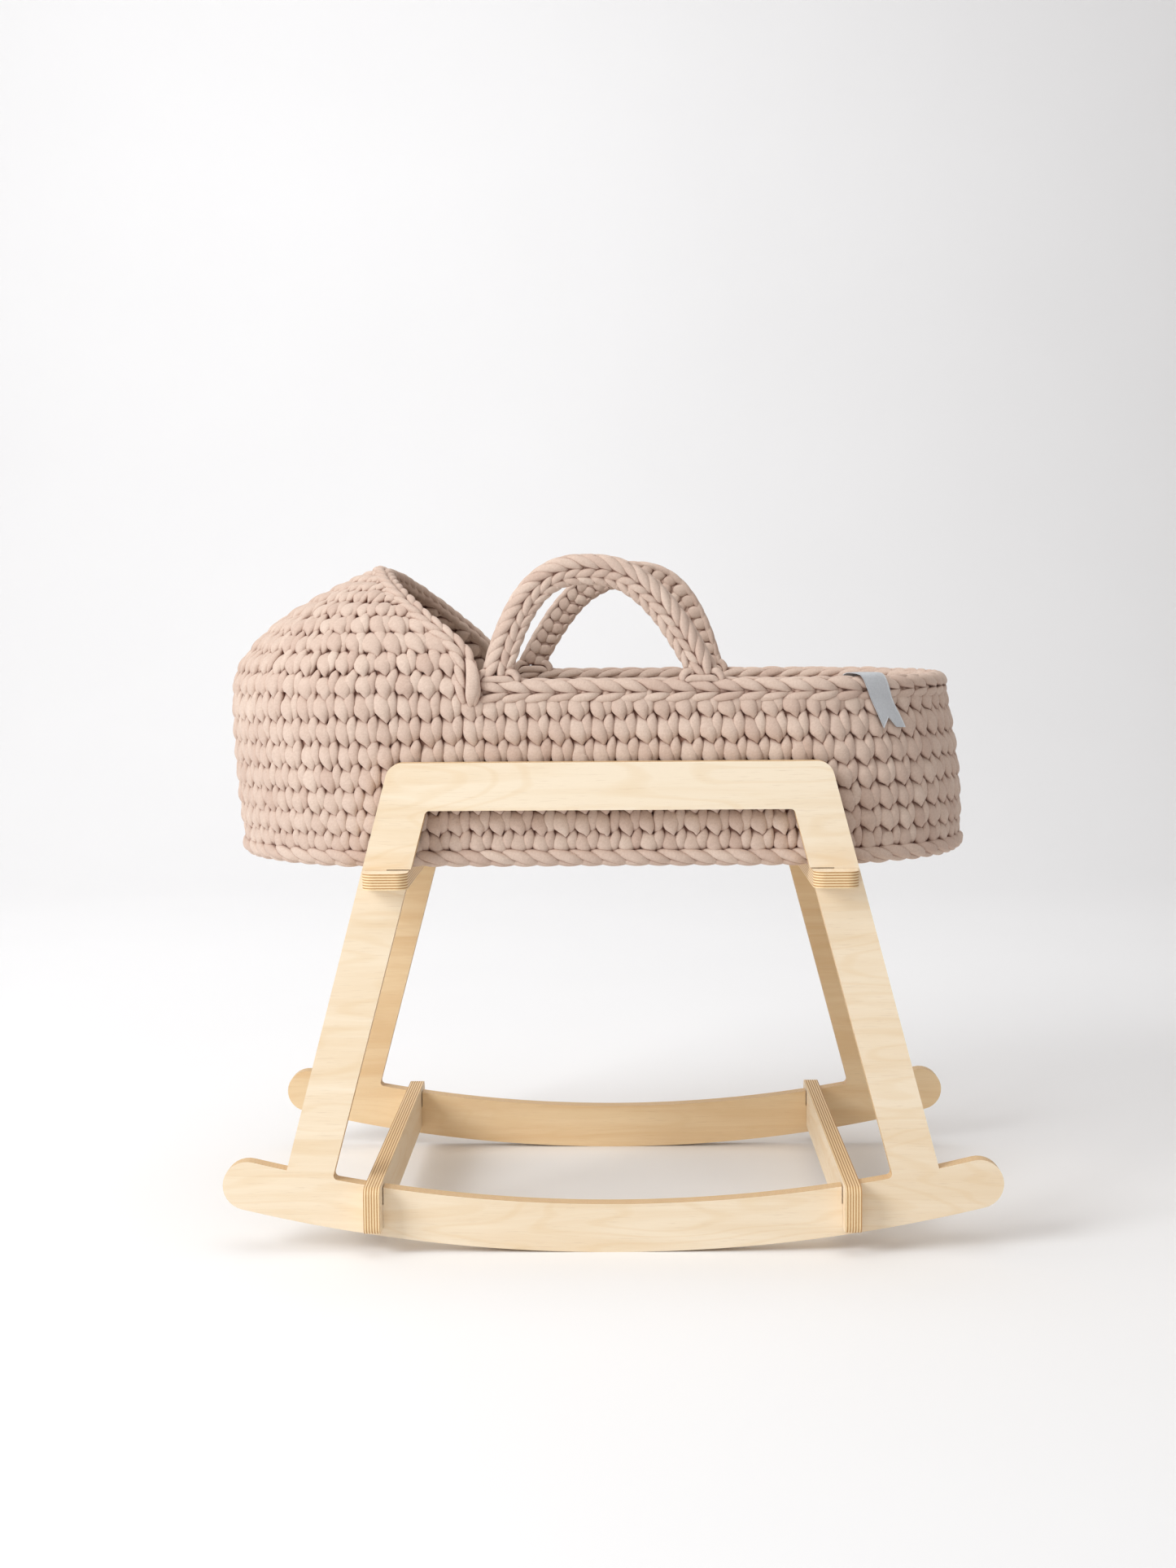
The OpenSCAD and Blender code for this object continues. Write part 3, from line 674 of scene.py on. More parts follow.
for row in range(HOOD_ROWS):
    m0 = 3.5 + row * HOOD_ROW_H
    count = max(round(course_length(m0 + 8) / PITCH), 5)
    at = np.arange(count)
    long = 1 + 0.25 * row / HOOD_ROWS
    fat = [(a, b * long, c, w, t) for a, b, c, w, t in FAT_LEAF]
    thin = [(a, b * long, c, w, t) for a, b, c, w, t in THIN_LEAF]
    parts = [leaves(hood_place(m0, count), at, thin, PITCH, jitter=0.07),
             leaves(hood_place(m0, count), at, fat, PITCH, jitter=0.07)]
    yarn_piece(f"hood_row_{row + 1}", parts, "hood")

parts = []
for row in range(HOOD_ROWS + 1):
    m0 = 10 + row * INNER_ROW_H
    length = course_length(m0)
    count = max(round(length / PITCH), 4)
    at = np.arange(count)

    def place(right, up, n, column, m0=m0, count=count, row=row):
        s = (column[:, None] + 0.5 + 0.5 * (row % 2) - right) / count
        p, out = hood_surface(s, m0 + up * HOOD_ROW_H + 0 * right, -WALL_T + BAR_IN - n)
        return p, -out
    parts.append(leaves(place, at, BLOCK, INNER_ROW_H, sections=9))
yarn_piece("hood_inside", parts, "hood")

s, m = np.meshgrid(np.linspace(0, 1, 90), np.linspace(-4, HOOD_ARC - 6, 30))
outer = hood_surface(s, m, np.full(s.shape, CORE_OUT))[0]
inner = hood_surface(s, m, np.full(s.shape, CORE_IN))[0]
quads = grid_quads(*s.shape)
values = np.zeros((2 * s.size, 3))
values[:, 2] = 0.5
hood_shaded_core = (np.concatenate([outer.reshape(-1, 3), inner.reshape(-1, 3)]),
             [quads, quads[:, ::-1] + s.size, sheet_sides(*s.shape)], values)
# the hood's core shell is drawn in the darker yarn, painted shade behind the stitches
yarn_piece("hood_shaded_core", [hood_shaded_core], "hood", material=shaded_core_yarn)


# ---------- Hood edging ----------

def edge_frame(t):
    """The hood's front edge from the far foot (0) over the crown to the near foot (1): place,
    direction out of the hood's face, direction forwards across the edging."""
    m = HOOD_ARC * (1 - np.abs(2 * t - 1)) * 0.985
    f = np.clip(np.interp(m, ARCH_M, ARCH_F), 0, math.radians(87.5))
    side = np.where(t < 0.5, 1.0, -1.0)
    z = WALL_TOP + HOOD_H * np.sin(f)
    y = side * RIM_R * np.cos(f)
    p = np.stack([hood_front(z) + edge_shift(z, y), y, z], -1)
    out = unit(np.stack([0.25 * np.sin(f), side * HOOD_H * np.cos(f) / 150,
                         RIM_R * np.sin(f) / 150], -1))
    return p, out


edge_p, edge_out = edge_frame(np.linspace(0, 1, 400))
for _ in range(6):      # soften the corner at the crown
    edge_p[1:-1] = (edge_p[:-2] + edge_p[1:-1] * 2 + edge_p[2:]) / 4
    edge_out[1:-1] = unit(edge_out[:-2] + edge_out[1:-1] * 2 + edge_out[2:])
edge_run = run_along(edge_p)
EDGE_LENGTH = edge_run[-1]
edge_along = unit(np.gradient(edge_p, axis=0))
edge_out = unit(edge_out - edge_along * (edge_out * edge_along).sum(-1, keepdims=True))
edge_fore = np.cross(edge_out, edge_along)
edge_fore *= np.sign(edge_fore[:, :1] + 1e-9)


def along_curve(run, table, at):
    return np.stack([np.interp(at, run, table[:, i]) for i in range(3)], -1)


EDGE_PITCH = 18.0
edge_count = round(EDGE_LENGTH / EDGE_PITCH)


def edge_place(right, up, n, index):
    """right runs along the edge in pitches, up forwards across it in millimetres."""
    at = (index[:, None] + 0.5 + right) * EDGE_LENGTH / edge_count
    p = along_curve(edge_run, edge_p, at)
    out = unit(along_curve(edge_run, edge_out, at))
    fore = unit(along_curve(edge_run, edge_fore, at))
    reach = np.clip(fore[..., :1], 0.55, 1)
    return p + fore * up[..., None] * reach + out * n[..., None], out


# Rows are (along in pitches, forwards, outwards, half width, half thickness).
EDGE_FRONT = [
    (-1.15, 14.5, -9.0, 1.4, 2.2), (-0.7, 14.5, -4.6, 3.8, 4.0), (-0.15, 12.6, -3.0, 4.6, 4.6),
    (0.40, 9.0, -3.2, 3.8, 4.2), (0.90, 5.6, -7.0, 1.4, 2.4)]
EDGE_BACK = [
    (-1.1, -5.5, -8.0, 1.4, 2.2), (-0.65, -3.8, -3.2, 3.8, 4.0), (-0.1, -0.6, -1.8, 4.6, 4.8),
    (0.45, 2.8, -2.6, 3.8, 4.4), (0.95, 5.0, -7.0, 1.4, 2.4)]
EDGE_INNER = [
    (-0.9, 9.0, -11.0, 1.6, 2.2), (-0.5, 11.0, -9.5, 4.0, 4.0), (0.0, 11.5, -8.8, 4.4, 4.2),
    (0.5, 10.0, -9.2, 4.0, 4.0), (0.9, 8.0, -11.0, 1.6, 2.2)]
# The big loose stitches that close each foot of the hood: (x behind the edging's front, tuck
# under it, share of the rise, bulge, half width), then the rise, tuck, bulge and size along one.
FOOT_STITCHES = ((6.641, 6.0, 1.0, 4.5, 7.6), (2.641, 6.0, 0.7, 2.0, 4.2))
FOOT_RISE = np.array([0.0, 12.0, 27.0, 42.0, 53.0])
FOOT_TUCK = np.array([-0.3, 0.0, 0.3, 0.0, -1.0])
FOOT_BULGE = np.array([-5, 0, 1, -1, -9])
FOOT_SIZE = np.array([0.2, 0.85, 1.0, 0.8, 0.3])
FOOT_HALF_T = 5.5
index = np.arange(edge_count)
parts = [leaves(edge_place, index, rows) for rows in (EDGE_INNER, EDGE_BACK, EDGE_FRONT)]
core_run = np.linspace(0.5, EDGE_LENGTH - 0.5, 120)[None]
core_path = (along_curve(edge_run, edge_p, core_run)
             + unit(along_curve(edge_run, edge_fore, core_run)) * 5
             - unit(along_curve(edge_run, edge_out, core_run)) * 8)
parts.append(strands(core_path, unit(along_curve(edge_run, edge_out, core_run)),
                     np.full((1, 120), 7.0), np.full((1, 120), 4.5), np.array([0.3])))
w = spline(len(FOOT_RISE), np.linspace(0, 1, 17))
for side in (-1, 1):
    for behind, tuck, share, bulge, wide in FOOT_STITCHES:
        foot_z = WALL_TOP - 6 + FOOT_RISE * share
        foot_arc = np.sqrt(1 - np.clip((foot_z - WALL_TOP) / HOOD_H, 0, 1) ** 2)
        path = np.stack([edging_hi[0] - behind + tuck * FOOT_TUCK,
                         side * (RIM_R * foot_arc + bulge + FOOT_BULGE), foot_z], -1)
        path = (w @ path)[None]
        size = (w @ FOOT_SIZE)[None]
        parts.append(strands(path, np.broadcast_to(np.array([0, side * 0.95, 0.3]), path.shape),
                             wide * size, FOOT_HALF_T * size, np.array([0.6])))
yarn_piece("hood_edging_chain", parts, "hood_edging")


# ---------- Rim braid ----------

rim_c = wall_x(WALL_TOP)
RIM_MID_R = RIM_OUT_R - RIM_W / 2
RIM_START = rim_lo[0]
rim_straight = rim_c + SIDE_HALF - RIM_START
RIM_LENGTH = 2 * rim_straight + PI * RIM_MID_R
section_a = np.linspace(0, PI, 60)
section = np.concatenate([
    [[RIM_W / 2, 0.0]],
    np.stack([RIM_W / 2 * np.cos(section_a), RIM_H * (0.4 + 0.6 * np.sin(section_a))], -1),
    [[-RIM_W / 2, 0.0]]])
section_run = run_along(section)
section_along = unit(np.gradient(section, axis=0))
section_out = np.stack([section_along[:, 1], -section_along[:, 0]], -1)


def rim_surface(u, v, n):
    """Point on the rim braid: u along it from the near hood foot, v round its section from the
    outer lower corner, n off its face."""
    a = np.clip((u - rim_straight) / RIM_MID_R, 0, PI)
    x0 = (RIM_START + np.clip(u, -30, rim_straight)
          - np.clip(u - rim_straight - PI * RIM_MID_R, 0, None))
    sec = np.stack([np.interp(v, section_run, section[:, i]) for i in (0, 1)], -1)
    out2 = unit(np.stack([np.interp(v, section_run, section_out[:, i]) for i in (0, 1)], -1))
    sec = sec + out2 * n[..., None]
    r = RIM_MID_R + sec[..., 0]
    p = np.stack([x0 + r * np.sin(a), -r * np.cos(a), WALL_TOP + sec[..., 1]], -1)
    out = np.stack([out2[..., 0] * np.sin(a), -out2[..., 0] * np.cos(a), out2[..., 1]], -1)
    return p, out


RIM_PITCH = 25.4
rim_count = round(RIM_LENGTH / RIM_PITCH)


def rim_place(right, up, n, index):
    u = (index[:, None] + 0.5 + right) * RIM_LENGTH / rim_count
    return rim_surface(u, up, n)


# Rows are (along in pitches, round the section, off its face, half width, half thickness).
RIM_UPPER = [
    (-1.15, 27.0, -8.0, 1.4, 2.0), (-0.70, 24.6, -4.2, 4.6, 4.0), (-0.15, 19.6, -2.6, 6.4, 4.8),
    (0.35, 14.2, -2.8, 5.0, 4.4), (0.78, 9.6, -8.0, 1.5, 2.2)]
RIM_LOWER = [
    (-0.90, 0.0, -8.0, 1.2, 2.0), (-0.48, 1.8, -4.2, 3.8, 4.0), (-0.02, 4.0, -2.8, 4.8, 4.6),
    (0.40, 6.4, -3.2, 4.0, 4.2), (0.80, 9.0, -8.0, 1.5, 2.2)]
RIM_TOP = [
    (-0.85, 31.5, -7.5, 1.6, 2.0), (-0.4, 31.0, -4.0, 3.8, 4.0), (0.0, 29.5, -3.2, 4.4, 4.4),
    (0.4, 28.0, -4.0, 3.8, 4.0), (0.75, 26.5, -8.0, 1.6, 2.2)]
RIM_IN_UPPER = [
    (-0.8, 35.0, -7.5, 1.6, 2.0), (-0.35, 37.5, -4.2, 4.3, 4.0), (0.0, 40.5, -3.6, 5.0, 4.4),
    (0.35, 44.0, -4.0, 4.2, 4.2), (0.7, 47.0, -8.0, 1.6, 2.2)]
RIM_IN_LOWER = [
    (-0.8, 59.0, -7.5, 1.6, 2.0), (-0.35, 56.5, -4.2, 4.3, 4.0), (0.0, 54.0, -3.6, 5.0, 4.4),
    (0.35, 51.0, -4.0, 4.2, 4.2), (0.7, 48.0, -8.0, 1.6, 2.2)]
RIM_CORE_IN, RIM_CORE_HALF = -12.5, 7.8
index = np.arange(rim_count)
parts = [leaves(rim_place, index, rows)
         for rows in (RIM_IN_LOWER, RIM_IN_UPPER, RIM_TOP, RIM_LOWER, RIM_UPPER)]
run = np.linspace(-2, RIM_LENGTH + 2, 160)[None]
path, out = rim_surface(run, np.full(run.shape, section_run[-1] / 2),
                        np.full(run.shape, RIM_CORE_IN))
parts.append(strands(path, out, np.full(run.shape, RIM_CORE_HALF),
                     np.full(run.shape, RIM_CORE_HALF), np.array([0.2])))
yarn_piece("rim_chain", parts, "rim_braid")


# ---------- Rope round the floor ----------

ROPE_PITCH = 24.2
rope_r = LACE_R - 8.5
rope_length = 4 * SIDE_HALF + 2 * PI * rope_r
rope_count = round(rope_length / ROPE_PITCH)


def rope_place(right, up, n, index):
    """right along the rope as seen from outside in pitches, up from its middle, n outwards."""
    d = (index[:, None] + 0.5 - right) * rope_length / rope_count
    x, y, out, _ = stadium_ring(d, rope_r, FLOOR_X)
    p = np.stack([x, y, FLOOR_Z + LACE_H / 2 + up], -1)
    return p + out * n[..., None], out


ROPE_OVER = [
    (-1.05, 4.6, -1.5, 1.6, 2.4), (-0.66, 4.6, 3.2, 4.4, 5.2), (-0.12, 2.4, 6.0, 5.9, 6.4),
    (0.42, -1.8, 6.0, 5.6, 6.0), (0.95, -5.4, 1.5, 2.0, 3.0)]
ROPE_UNDER = [
    (-0.95, -0.8, 0.0, 1.8, 2.6), (-0.45, -3.4, 2.6, 3.6, 4.6), (0.05, -5.6, 3.4, 4.4, 4.6),
    (0.50, -6.4, 2.0, 3.6, 3.8), (0.95, -6.0, -2.0, 1.8, 2.4)]
index = np.arange(rope_count)
parts = [leaves(rope_place, index, rows, jitter=0.04) for rows in (ROPE_UNDER, ROPE_OVER)]
x, y, out, _ = stadium_ring(np.linspace(0, rope_length, 261)[:-1], rope_r, FLOOR_X)
centre = np.stack([x, y, np.full(len(x), FLOOR_Z + LACE_H / 2)], -1)
CORE_SECTION = (        # height of each level, and its outer and inner face off the middle line
    (-9.0, -3.0, -6.0), (-7.0, 0.0, -8.0), (0.0, 1.0, -8.5), (7.0, 0.0, -8.0), (9.0, -3.0, -6.0))
outer, inner = [np.stack([centre + out * level[face] + np.array([0, 0, level[0]])
                          for level in CORE_SECTION]) for face in (1, 2)]
parts.append(shell_part(outer, inner))
yarn_piece("floor_rope", parts, "bottom_lacing")


# ---------- Handles ----------

BAND_W, BAND_T = 28.0, 16.0
HANDLE_RISE = 108.0
ARCH_POWER = 2.6
HANDLE_LEAN = 13.0
HANDLE_PITCH = 15.5
FOOT = 6.5            # how far the yarn of a handle's foot goes on under its hinge line
# Rows are (along in pitches, towards the arch's outside, off its middle plane, half width, half
# thickness). BLOCK and FIN lie on the side towards the basket.
HANDLE_OUTER = [
    (-1.30, 13.2, -2.5, 1.4, 2.2), (-0.85, 11.4, 2.2, 4.2, 4.2), (-0.22, 8.0, 4.4, 5.3, 4.8),
    (0.40, 4.0, 4.4, 4.3, 4.4), (0.92, 0.8, 0.5, 1.4, 2.4)]
HANDLE_INNER = [
    (-1.05, -6.6, -1.5, 1.4, 2.2), (-0.62, -5.4, 2.6, 3.6, 4.2), (-0.10, -3.6, 4.0, 4.6, 4.6),
    (0.36, -1.6, 4.0, 4.0, 4.2), (0.80, 0.4, 0.5, 1.4, 2.4)]
HANDLE_TWIST = [
    (-0.95, -6.4, -0.5, 1.4, 2.4), (-0.50, -8.6, 1.8, 3.6, 4.6), (0.05, -10.8, 1.6, 4.4, 5.0),
    (0.55, -12.6, -0.6, 3.6, 4.4), (0.95, -13.4, -4.0, 1.4, 2.4)]
HANDLE_BLOCK = [
    (0.52, 13.6, -2.0, 2.6, 2.4), (0.36, 11.0, 2.2, 6.4, 4.2), (0.16, 6.4, 3.4, 7.6, 4.8),
    (-0.02, 1.6, 3.0, 6.6, 4.4), (-0.10, -1.6, -1.0, 2.6, 2.4)]
HANDLE_FIN = [
    (-0.10, 1.6, -1.0, 2.0, 2.4), (0.06, -1.6, 2.2, 5.4, 4.2), (0.24, -6.0, 3.2, 6.4, 4.8),
    (0.42, -10.6, 1.0, 5.6, 4.6), (0.56, -13.6, -3.6, 2.4, 3.0)]
HANDLE_RIM = [
    (-0.95, 12.6, 0.5, 1.6, 2.2), (-0.5, 12.4, -1.5, 3.8, 3.8), (0.0, 12.2, -3.0, 4.6, 4.2),
    (0.5, 12.4, -4.0, 3.8, 3.8), (0.95, 12.6, -5.0, 1.6, 2.2)]


def handle_frame(node):
    """Middle line, tangent and outward direction of a handle's arch, from its left foot."""
    lo, hi = box_mm(node)
    half = (hi[0] - lo[0]) / 2 - BAND_W / 2
    mid_x, y0, z0 = (lo[0] + hi[0]) / 2, (lo[1] + hi[1]) / 2, lo[2] + BAND_T / 2
    lean = -HANDLE_LEAN if node == "handle_front" else HANDLE_LEAN
    across = -np.cos(np.linspace(0, PI, 400))
    up = 1 - np.abs(across) ** ARCH_POWER
    p = np.stack([mid_x + half * across + lean * up, y0 + 0 * up, z0 + HANDLE_RISE * up], -1)
    run = run_along(p)
    along = unit(np.gradient(p, axis=0))
    side = np.stack([-along[:, 2], 0 * up, along[:, 0]], -1)
    return run, p, along, side


def handle_parts(node):
    run, p, along, side = handle_frame(node)
    length = run[-1]
    count = round((length + 2 * FOOT) / HANDLE_PITCH)
    face = np.array([0, -1.0 if node == "handle_front" else 1.0, 0])
    index = np.arange(count)

    def place(right, up, n, at):
        """right along the arch in pitches, up across it towards its outside, n off its middle
        plane towards the basket's outside."""
        d = (at[:, None] + 0.5 + right) * (length + 2 * FOOT) / count - FOOT
        d = np.clip(d, -FOOT - 1.5, length + FOOT + 1.5)
        inside = np.clip(d, 0, length)
        q = along_curve(run, p, inside)
        q = q + along_curve(run, along, inside) * (d - inside)[..., None]
        s = unit(along_curve(run, side, inside))
        pt = q + s * up[..., None] + face * n[..., None]
        return pt, unit(face + s * (up / 16)[..., None])

    def place_in(right, up, n, at):
        pt, out = place(right, up, -n, at)
        return pt, unit(-face + 0 * out)

    parts = [leaves(place_in, index, HANDLE_BLOCK),
             leaves(place_in, index, HANDLE_FIN),
             leaves(place, index, HANDLE_RIM, jitter=0.03),
             leaves(place, index, HANDLE_TWIST, jitter=0.04),
             leaves(place, index, HANDLE_INNER),
             leaves(place, index, HANDLE_OUTER)]
    d = np.linspace(1, length - 1, 90)
    q = along_curve(run, p, d)[None]
    parts.append(strands(q, np.broadcast_to(face, q.shape), np.full((1, 90), 9.5),
                         np.full((1, 90), 4.5), np.array([0.2])))
    return parts


for node in ("handle_front", "handle_back"):
    yarn_piece(node + "_crochet", handle_parts(node), node, node)


# ---------- Lashings at the handles' feet ----------

YARN_HALF = 2.6
LASH_REACH = BAND_W / 2 + 3.2
# Points of a lashing: x past the foot's edge, share of its lane's y, z off the top yarn.
LASHING = ((-12, 0.5, -3), (-3, 0.9, -1), (1.5, 1.0, -4), (3.5, 1.1, -9), (2, 1.0, -17))
LASH_LANES = (-4.6, 4.6)
# Points of the yarn laid along the rim under the foot: x off the foot's middle, z as above.
UNDER_FOOT = ((-17, -12), (-12, -9), (0, -8.5), (12, -9), (17, -12))
UNDER_LANES = (-6.5, 0.0, 6.5)

for node in ("handle_front", "handle_back"):
    lo, hi = box_mm(node + "_lashings")
    handle_lo, handle_hi = box_mm(node)
    y, z1 = (lo[1] + hi[1]) / 2, hi[2] - YARN_HALF
    half = (handle_hi[0] - handle_lo[0]) / 2 - BAND_W / 2
    mid_x = (lo[0] + hi[0]) / 2
    paths = []
    for foot in (-1, 1):
        x0 = mid_x + foot * half
        for end in (-1, 1):
            for lane in LASH_LANES:
                paths.append([(x0 + end * (LASH_REACH + past), y + lane * wide, z1 + up)
                              for past, wide, up in LASHING])
        for lane in UNDER_LANES:
            paths.append([(x0 + past, y + lane, z1 + up) for past, up in UNDER_FOOT])
    path = np.einsum("mc,kcd->kmd", spline(5, np.linspace(0, 1, 16)), np.array(paths))
    out = np.broadcast_to(np.array([0, -1.0, 0.01]), path.shape)
    girth = np.interp(np.linspace(0, 1, 16), [0, 0.3, 0.7, 1], [2.6, 4.2, 4.2, 2.6])
    girth = np.broadcast_to(girth, path.shape[:2])
    parts = [strands(path, out, girth, girth, np.full(len(paths), 0.5))]
    yarn_piece(node + "_lashing_yarn", parts, node + "_lashings")


# ---------- Mattress ----------

THREAD_RATE = 5200.0        # waves of the weave, radians for each metre


def cotton_material():
    """Washed cotton: a fine plain weave with faint slubs."""
    material, tree, shader = node_material("cotton_cover", 0.9, 0.15)
    where = object_place(tree)
    x, y, _ = split(tree, where)
    weave = times(tree, sine(tree, x, THREAD_RATE), sine(tree, y, THREAD_RATE))
    slub = noise(tree, scaled(tree, where, (30, 260, 260)), 1.0, 3)
    creases = noise(tree, where, 14, 4, 0.6)
    base = mix_colour(tree, ramp(tree, slub, 0.35, 0.7), srgb(240, 236, 228), srgb(228, 222, 211))
    tree.links.new(base, shader.inputs["Base Color"])
    folds = plus(tree, times(tree, slub, 0.3), times(tree, creases, 2.5))
    bump(tree, shader, plus(tree, times(tree, weave, 0.15), folds), 0.5, 0.001)
    return material


MATTRESS_R = (cover_hi[1] - cover_lo[1]) / 2
MATTRESS_SIDE = (cover_hi[0] - cover_lo[0]) / 2 - MATTRESS_R
MATTRESS_X = (cover_hi[0] + cover_lo[0]) / 2


def pad_ring(r, z, count=240):
    """Points of a stadium outline of end radius r round the mattress, at height z."""
    a = np.linspace(0, 1, count, endpoint=False) * (4 * MATTRESS_SIDE + 2 * PI * MATTRESS_R)
    half_turn = PI * MATTRESS_R
    turn = (np.clip(a - 2 * MATTRESS_SIDE, 0, half_turn)
            + np.clip(a - 4 * MATTRESS_SIDE - half_turn, 0, half_turn)) / MATTRESS_R
    x = (MATTRESS_X - MATTRESS_SIDE + np.clip(a, 0, 2 * MATTRESS_SIDE)
         - np.clip(a - 2 * MATTRESS_SIDE - half_turn, 0, 2 * MATTRESS_SIDE) + r * np.sin(turn))
    return np.stack([x, -r * np.cos(turn), z + 0 * x], -1)


def pad_part():
    """The pad: flat under, soft-edged, crowned and slightly dimpled on top."""
    lo, hi, r = cover_lo[2], cover_hi[2], MATTRESS_R
    side = [(2, lo), (r * 0.5, lo), (r - 12, lo), (r - 4, lo + 1.2), (r - 1.2, lo + 5),
            (r - 0.2, lo + 12), (r, lo + 20), (r - 0.3, hi - 13), (r - 1.4, hi - 8),
            (r - 4.5, hi - 4.2), (r - 10, hi - 1.8)]
    crown = [(k, hi - 1.8 + 3.2 * (1 - (k / (r - 10)) ** 2)) for k in np.linspace(r - 20, 2, 14)]
    profile = side + crown
    rings = np.stack([pad_ring(radius, z) for radius, z in profile])
    dimple = (np.sin(rings[..., 0] / 31.0 + 1) * np.sin(rings[..., 1] / 27.0)
              + 0.5 * np.sin(rings[..., 0] / 13.0) * np.sin(rings[..., 1] / 17.0 + 2))
    rings[len(side):, :, 2] += 0.7 * dimple[len(side):]
    m, n = rings.shape[:2]
    ends = [np.arange(n)[None, ::-1], (m - 1) * n + np.arange(n)[None]]
    return rings, [grid_quads(m, n, wrap_cols=True)] + ends


def piping_part(z, size=2.2):
    """A closed cord sewn round the pad at height z."""
    a = np.arange(8) / 8 * 2 * PI
    loop = np.stack([pad_ring(MATTRESS_R - 1.2 + size * math.cos(k), z + size * math.sin(k))
                     for k in a])
    return loop, [grid_quads(len(a), loop.shape[1], True, True)]


cotton = cotton_material()
piece = make_piece("mattress_pad", [pad_part(), piping_part(cover_hi[2] - 7.5),
                                    piping_part(cover_lo[2] + 5.5)], cotton, "basket")
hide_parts("mattress_cover", "mattress_foam")


# ---------- Tag ----------

def tag_material():
    """Grey woven ribbon: fine ribs across, a paler selvedge along one side."""
    material, tree, shader = node_material("grey_ribbon", 0.7, 0.1)
    along, across, _ = strand_values(tree)
    ribs = sine(tree, along, 7.5)
    warp = sine(tree, across, 11.0)
    mottle = ramp(tree, noise(tree, object_place(tree), 500, 3, 0.7), 0.3, 0.7)
    base = mix_colour(tree, mottle, srgb(192, 195, 199), srgb(205, 208, 212))
    selvedge = inverse(tree, ramp(tree, across, 1.2, 2.2))
    base = mix_colour(tree, times(tree, selvedge, 0.6), base, srgb(215, 219, 224))
    tree.links.new(base, shader.inputs["Base Color"])
    bump(tree, shader, plus(tree, ribs, times(tree, warp, 0.6)), 0.35, 0.0003)
    return material


TAG_W, TAG_T = 29.0, 0.7
TAG_ANGLE = 27.9       # degrees round the foot end from the front, where it crosses the rim's top
TAG_SLANT = 0.115      # degrees that it goes round for each millimetre down the outside
TAG_PATH = np.array([  # off the rim's outer face and off its top, from the outer end to the inner
    (9.5, -56.0), (7.2, -44.0), (4.0, -31.0), (2.8, -22.0), (2.9, -10.0), (0.5, 0.6), (-5.0, 3.2),
    (-12.0, 3.6), (-19.0, 3.2), (-24.6, 0.0), (-27.4, -8.0), (-27.6, -20.0)])


def tag_part():
    line = spline(len(TAG_PATH), np.linspace(0, 1, 60)) @ TAG_PATH
    run = run_along(line)
    over = run[np.argmax(line[:, 1] > 0)]
    across = np.concatenate([
        np.linspace(-1, -0.2, 7), np.linspace(-0.08, 0.15, 3), np.linspace(0.4, 1, 4)])
    notch = np.interp(across, [-1, -0.2, 0.15, 1], [0.0, 12.0, 1.0, 0.0])
    stations = np.linspace(0, 1, 48)
    at = notch[None] + (run[-1] - notch[None]) * stations[:, None]
    r = RIM_OUT_R + np.interp(at, run, line[:, 0])
    z = WALL_TOP + RIM_H + np.interp(at, run, line[:, 1])
    wave = 0.5 * np.sin(at / 9.0 + across[None] * 1.3)
    angle = np.radians(TAG_ANGLE + TAG_SLANT * (over - at))
    angle = angle + across[None] * TAG_W / 2 / RIM_OUT_R
    centre = rim_hi[0] - RIM_OUT_R
    normal = np.gradient(line, axis=0)
    normal = np.stack([-normal[:, 1], normal[:, 0]], -1)
    normal /= np.linalg.norm(normal, axis=1, keepdims=True)
    layers = []
    for off in (-TAG_T / 2, TAG_T / 2):
        rr = r + (wave + off) * np.interp(at, run, -normal[:, 0])
        zz = z + (wave + off) * np.interp(at, run, -normal[:, 1])
        layers.append(np.stack([centre + rr * np.sin(angle), -rr * np.cos(angle), zz], -1))
    quads = grid_quads(*at.shape)
    sides = np.roll(sheet_sides(*at.shape), 1, axis=1)
    values = np.zeros((2,) + at.shape + (3,))
    values[..., 0] = at
    values[..., 1] = (across[None] + 1) * TAG_W / 2
    return (np.stack(layers), [quads[:, ::-1], quads + at.size, sides], values), run[-1]


part, tag_length = tag_part()
piece = make_piece("rim_ribbon_tag", [part], tag_material(), "basket")
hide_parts("rim_tag")


# ---------- Materials of the CAD boards ----------

def paint(node, material):
    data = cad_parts[node].data
    if not data.materials:
        data.materials.append(material)
    for i in range(len(data.materials)):
        data.materials[i] = material


paint("side_frame_front", frame_ply)
# the back frame takes the darker birch copy, painted shade
paint("side_frame_back", shaded_back_ply)
for side in ("left", "right"):
    paint("upper_cross_plate_" + side, plate_ply)
    paint("lower_stretcher_" + side, stretcher_ply)
paint("base_board", board_ply)


# ---------- Camera, floor and light ----------

def look(position, yaw, pitch, roll):
    """Camera matrix from its place and angles: yaw to the left, pitch down."""
    f = np.array([-math.sin(yaw) * math.cos(pitch), math.cos(yaw) * math.cos(pitch),
                  -math.sin(pitch)])
    r0 = np.array([math.cos(yaw), math.sin(yaw), 0])
    u0 = np.cross(r0, f)
    r = math.cos(roll) * r0 + math.sin(roll) * u0
    u = -math.sin(roll) * r0 + math.cos(roll) * u0
    m = Matrix.Identity(4)
    for i in range(3):
        m[i][0], m[i][1], m[i][2], m[i][3] = r[i], u[i], -f[i], position[i]
    return m


camera = bpy.data.objects.new("camera", bpy.data.cameras.new("camera"))
camera.data.sensor_width = 36
camera.data.lens = 46.45
camera.data.clip_end = 60
camera.matrix_world = look((STAND_X * MM + 0.0135, -2.3581, 0.6943), 0.0170, 0.0871, -0.0075)
scene.collection.objects.link(camera)
scene.camera = camera


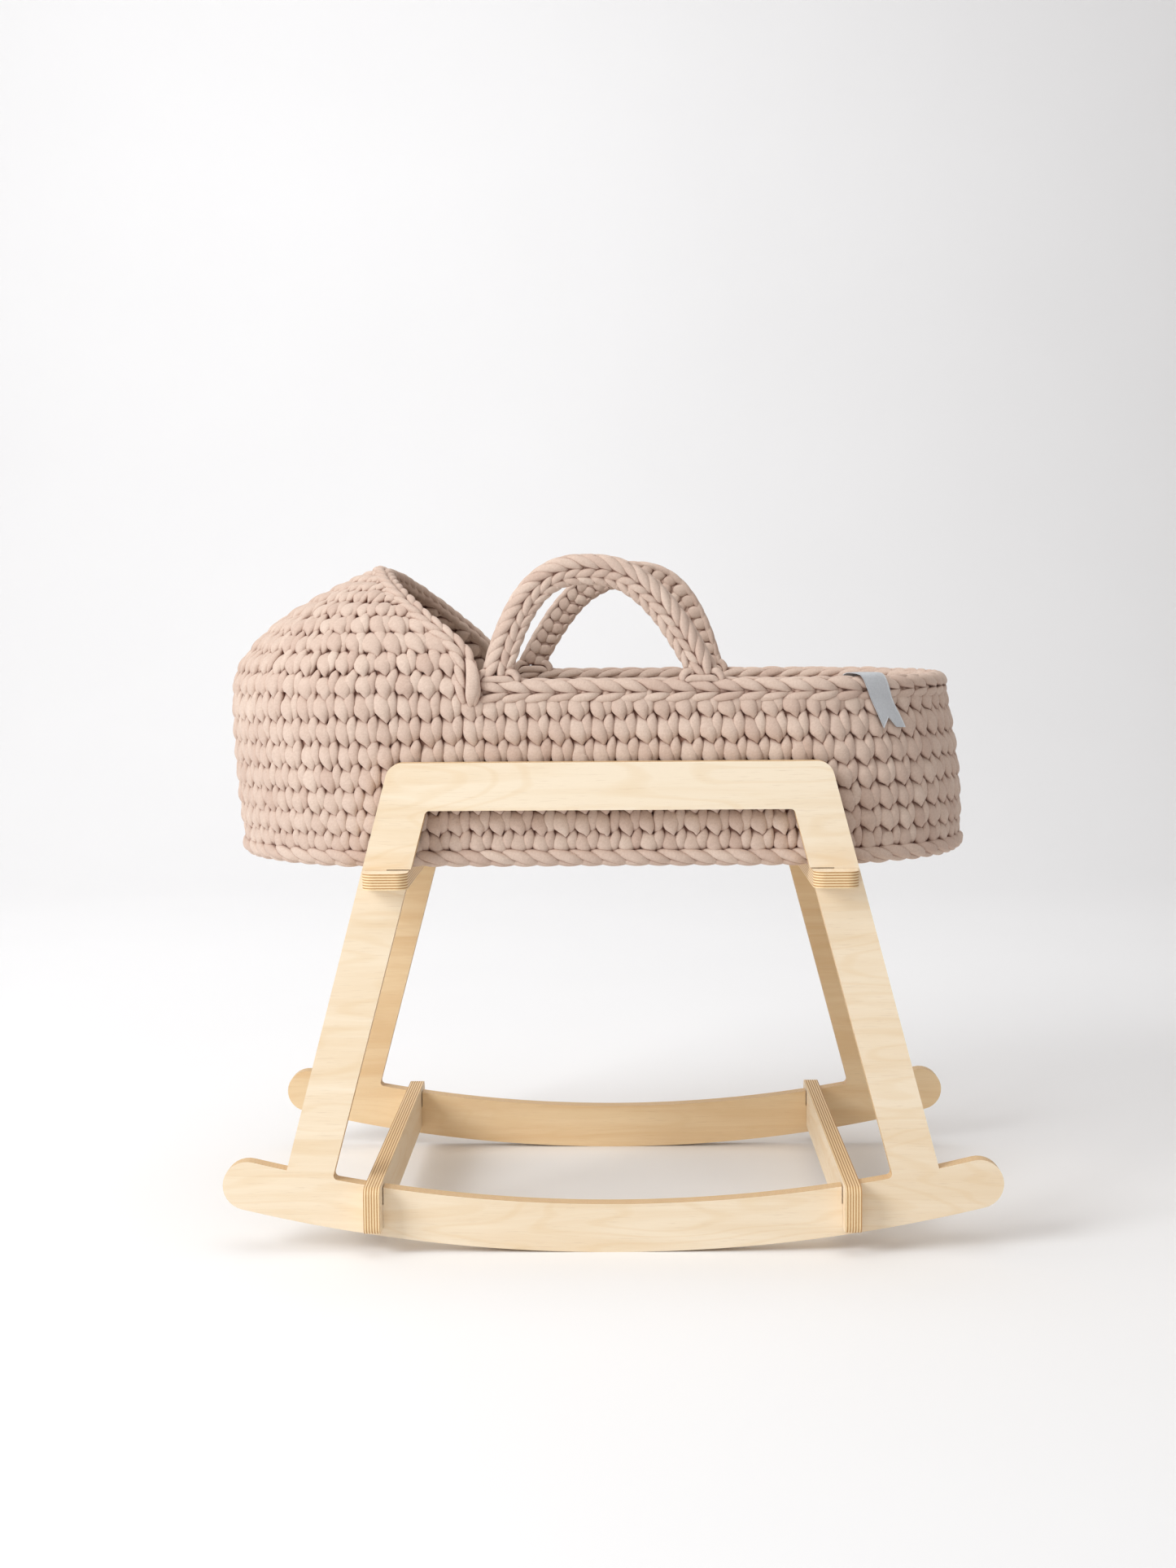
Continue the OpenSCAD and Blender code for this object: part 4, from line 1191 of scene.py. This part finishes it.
def cyclorama():
    """Floor that curves up into a backdrop."""
    near, bend, radius, top = -7.0, 2.6, 2.2, 9.0
    a = np.linspace(0, PI / 2, 24)
    profile = np.concatenate([[[near, 0.0]], np.stack([
        bend + radius * np.sin(a), radius * (1 - np.cos(a))], -1), [[bend + radius, top]]])
    x = np.linspace(-9, 9, 7)
    points = np.stack([np.repeat(x[None], len(profile), 0),
                       np.repeat(profile[:, :1], len(x), 1),
                       np.repeat(profile[:, 1:], len(x), 1)], -1)
    material, tree, shader = node_material("paper", 0.95)
    tone = noise(tree, object_place(tree), 1.5, 2)
    base = mix_colour(tree, tone, (0.90, 0.90, 0.905, 1), (0.93, 0.93, 0.935, 1))
    tree.links.new(base, shader.inputs["Base Color"])
    quads = grid_quads(len(profile), len(x))
    piece = make_piece("floor", [(points / MM, [quads])], material, None)


cyclorama()


def area_light(name, place, aim, size, power, colour=(1, 1, 1)):
    light = bpy.data.lights.new(name, "AREA")
    light.shape = "RECTANGLE"
    light.size, light.size_y = size
    light.energy = power
    light.color = colour
    obj = bpy.data.objects.new(name, light)
    direction = np.array(aim) - np.array(place)
    obj.rotation_euler = Vector(direction).to_track_quat("-Z", "Y").to_euler()
    obj.location = place
    obj.visible_camera = False
    scene.collection.objects.link(obj)


area_light("key", (-2.8, -2.2, 2.2), (0, 0, 0.5), (1.8, 1.8), 100, (0.975, 1.0, 1.02))
area_light("top", (-0.3, -0.4, 3.4), (-0.2, 0.2, 0), (3.2, 3.2), 48, (1.0, 1.0, 1.0))
area_light("front", (-0.4, -4.2, 1.6), (0, 0, 0.5), (2.4, 1.6), 9, (1.0, 0.99, 0.98))
area_light("backdrop", (-1.5, 1.6, 3.3), (-1.4, 5.0, 1.3), (4.2, 2.0), 56, (0.99, 0.99, 1.0))
world = bpy.data.worlds.new("studio")
scene.world = world
world.use_nodes = True
world.node_tree.nodes["Background"].inputs[0].default_value = (1.0, 0.96, 0.935, 1)
world.node_tree.nodes["Background"].inputs[1].default_value = 0.37
scene.view_settings.view_transform = "Standard"
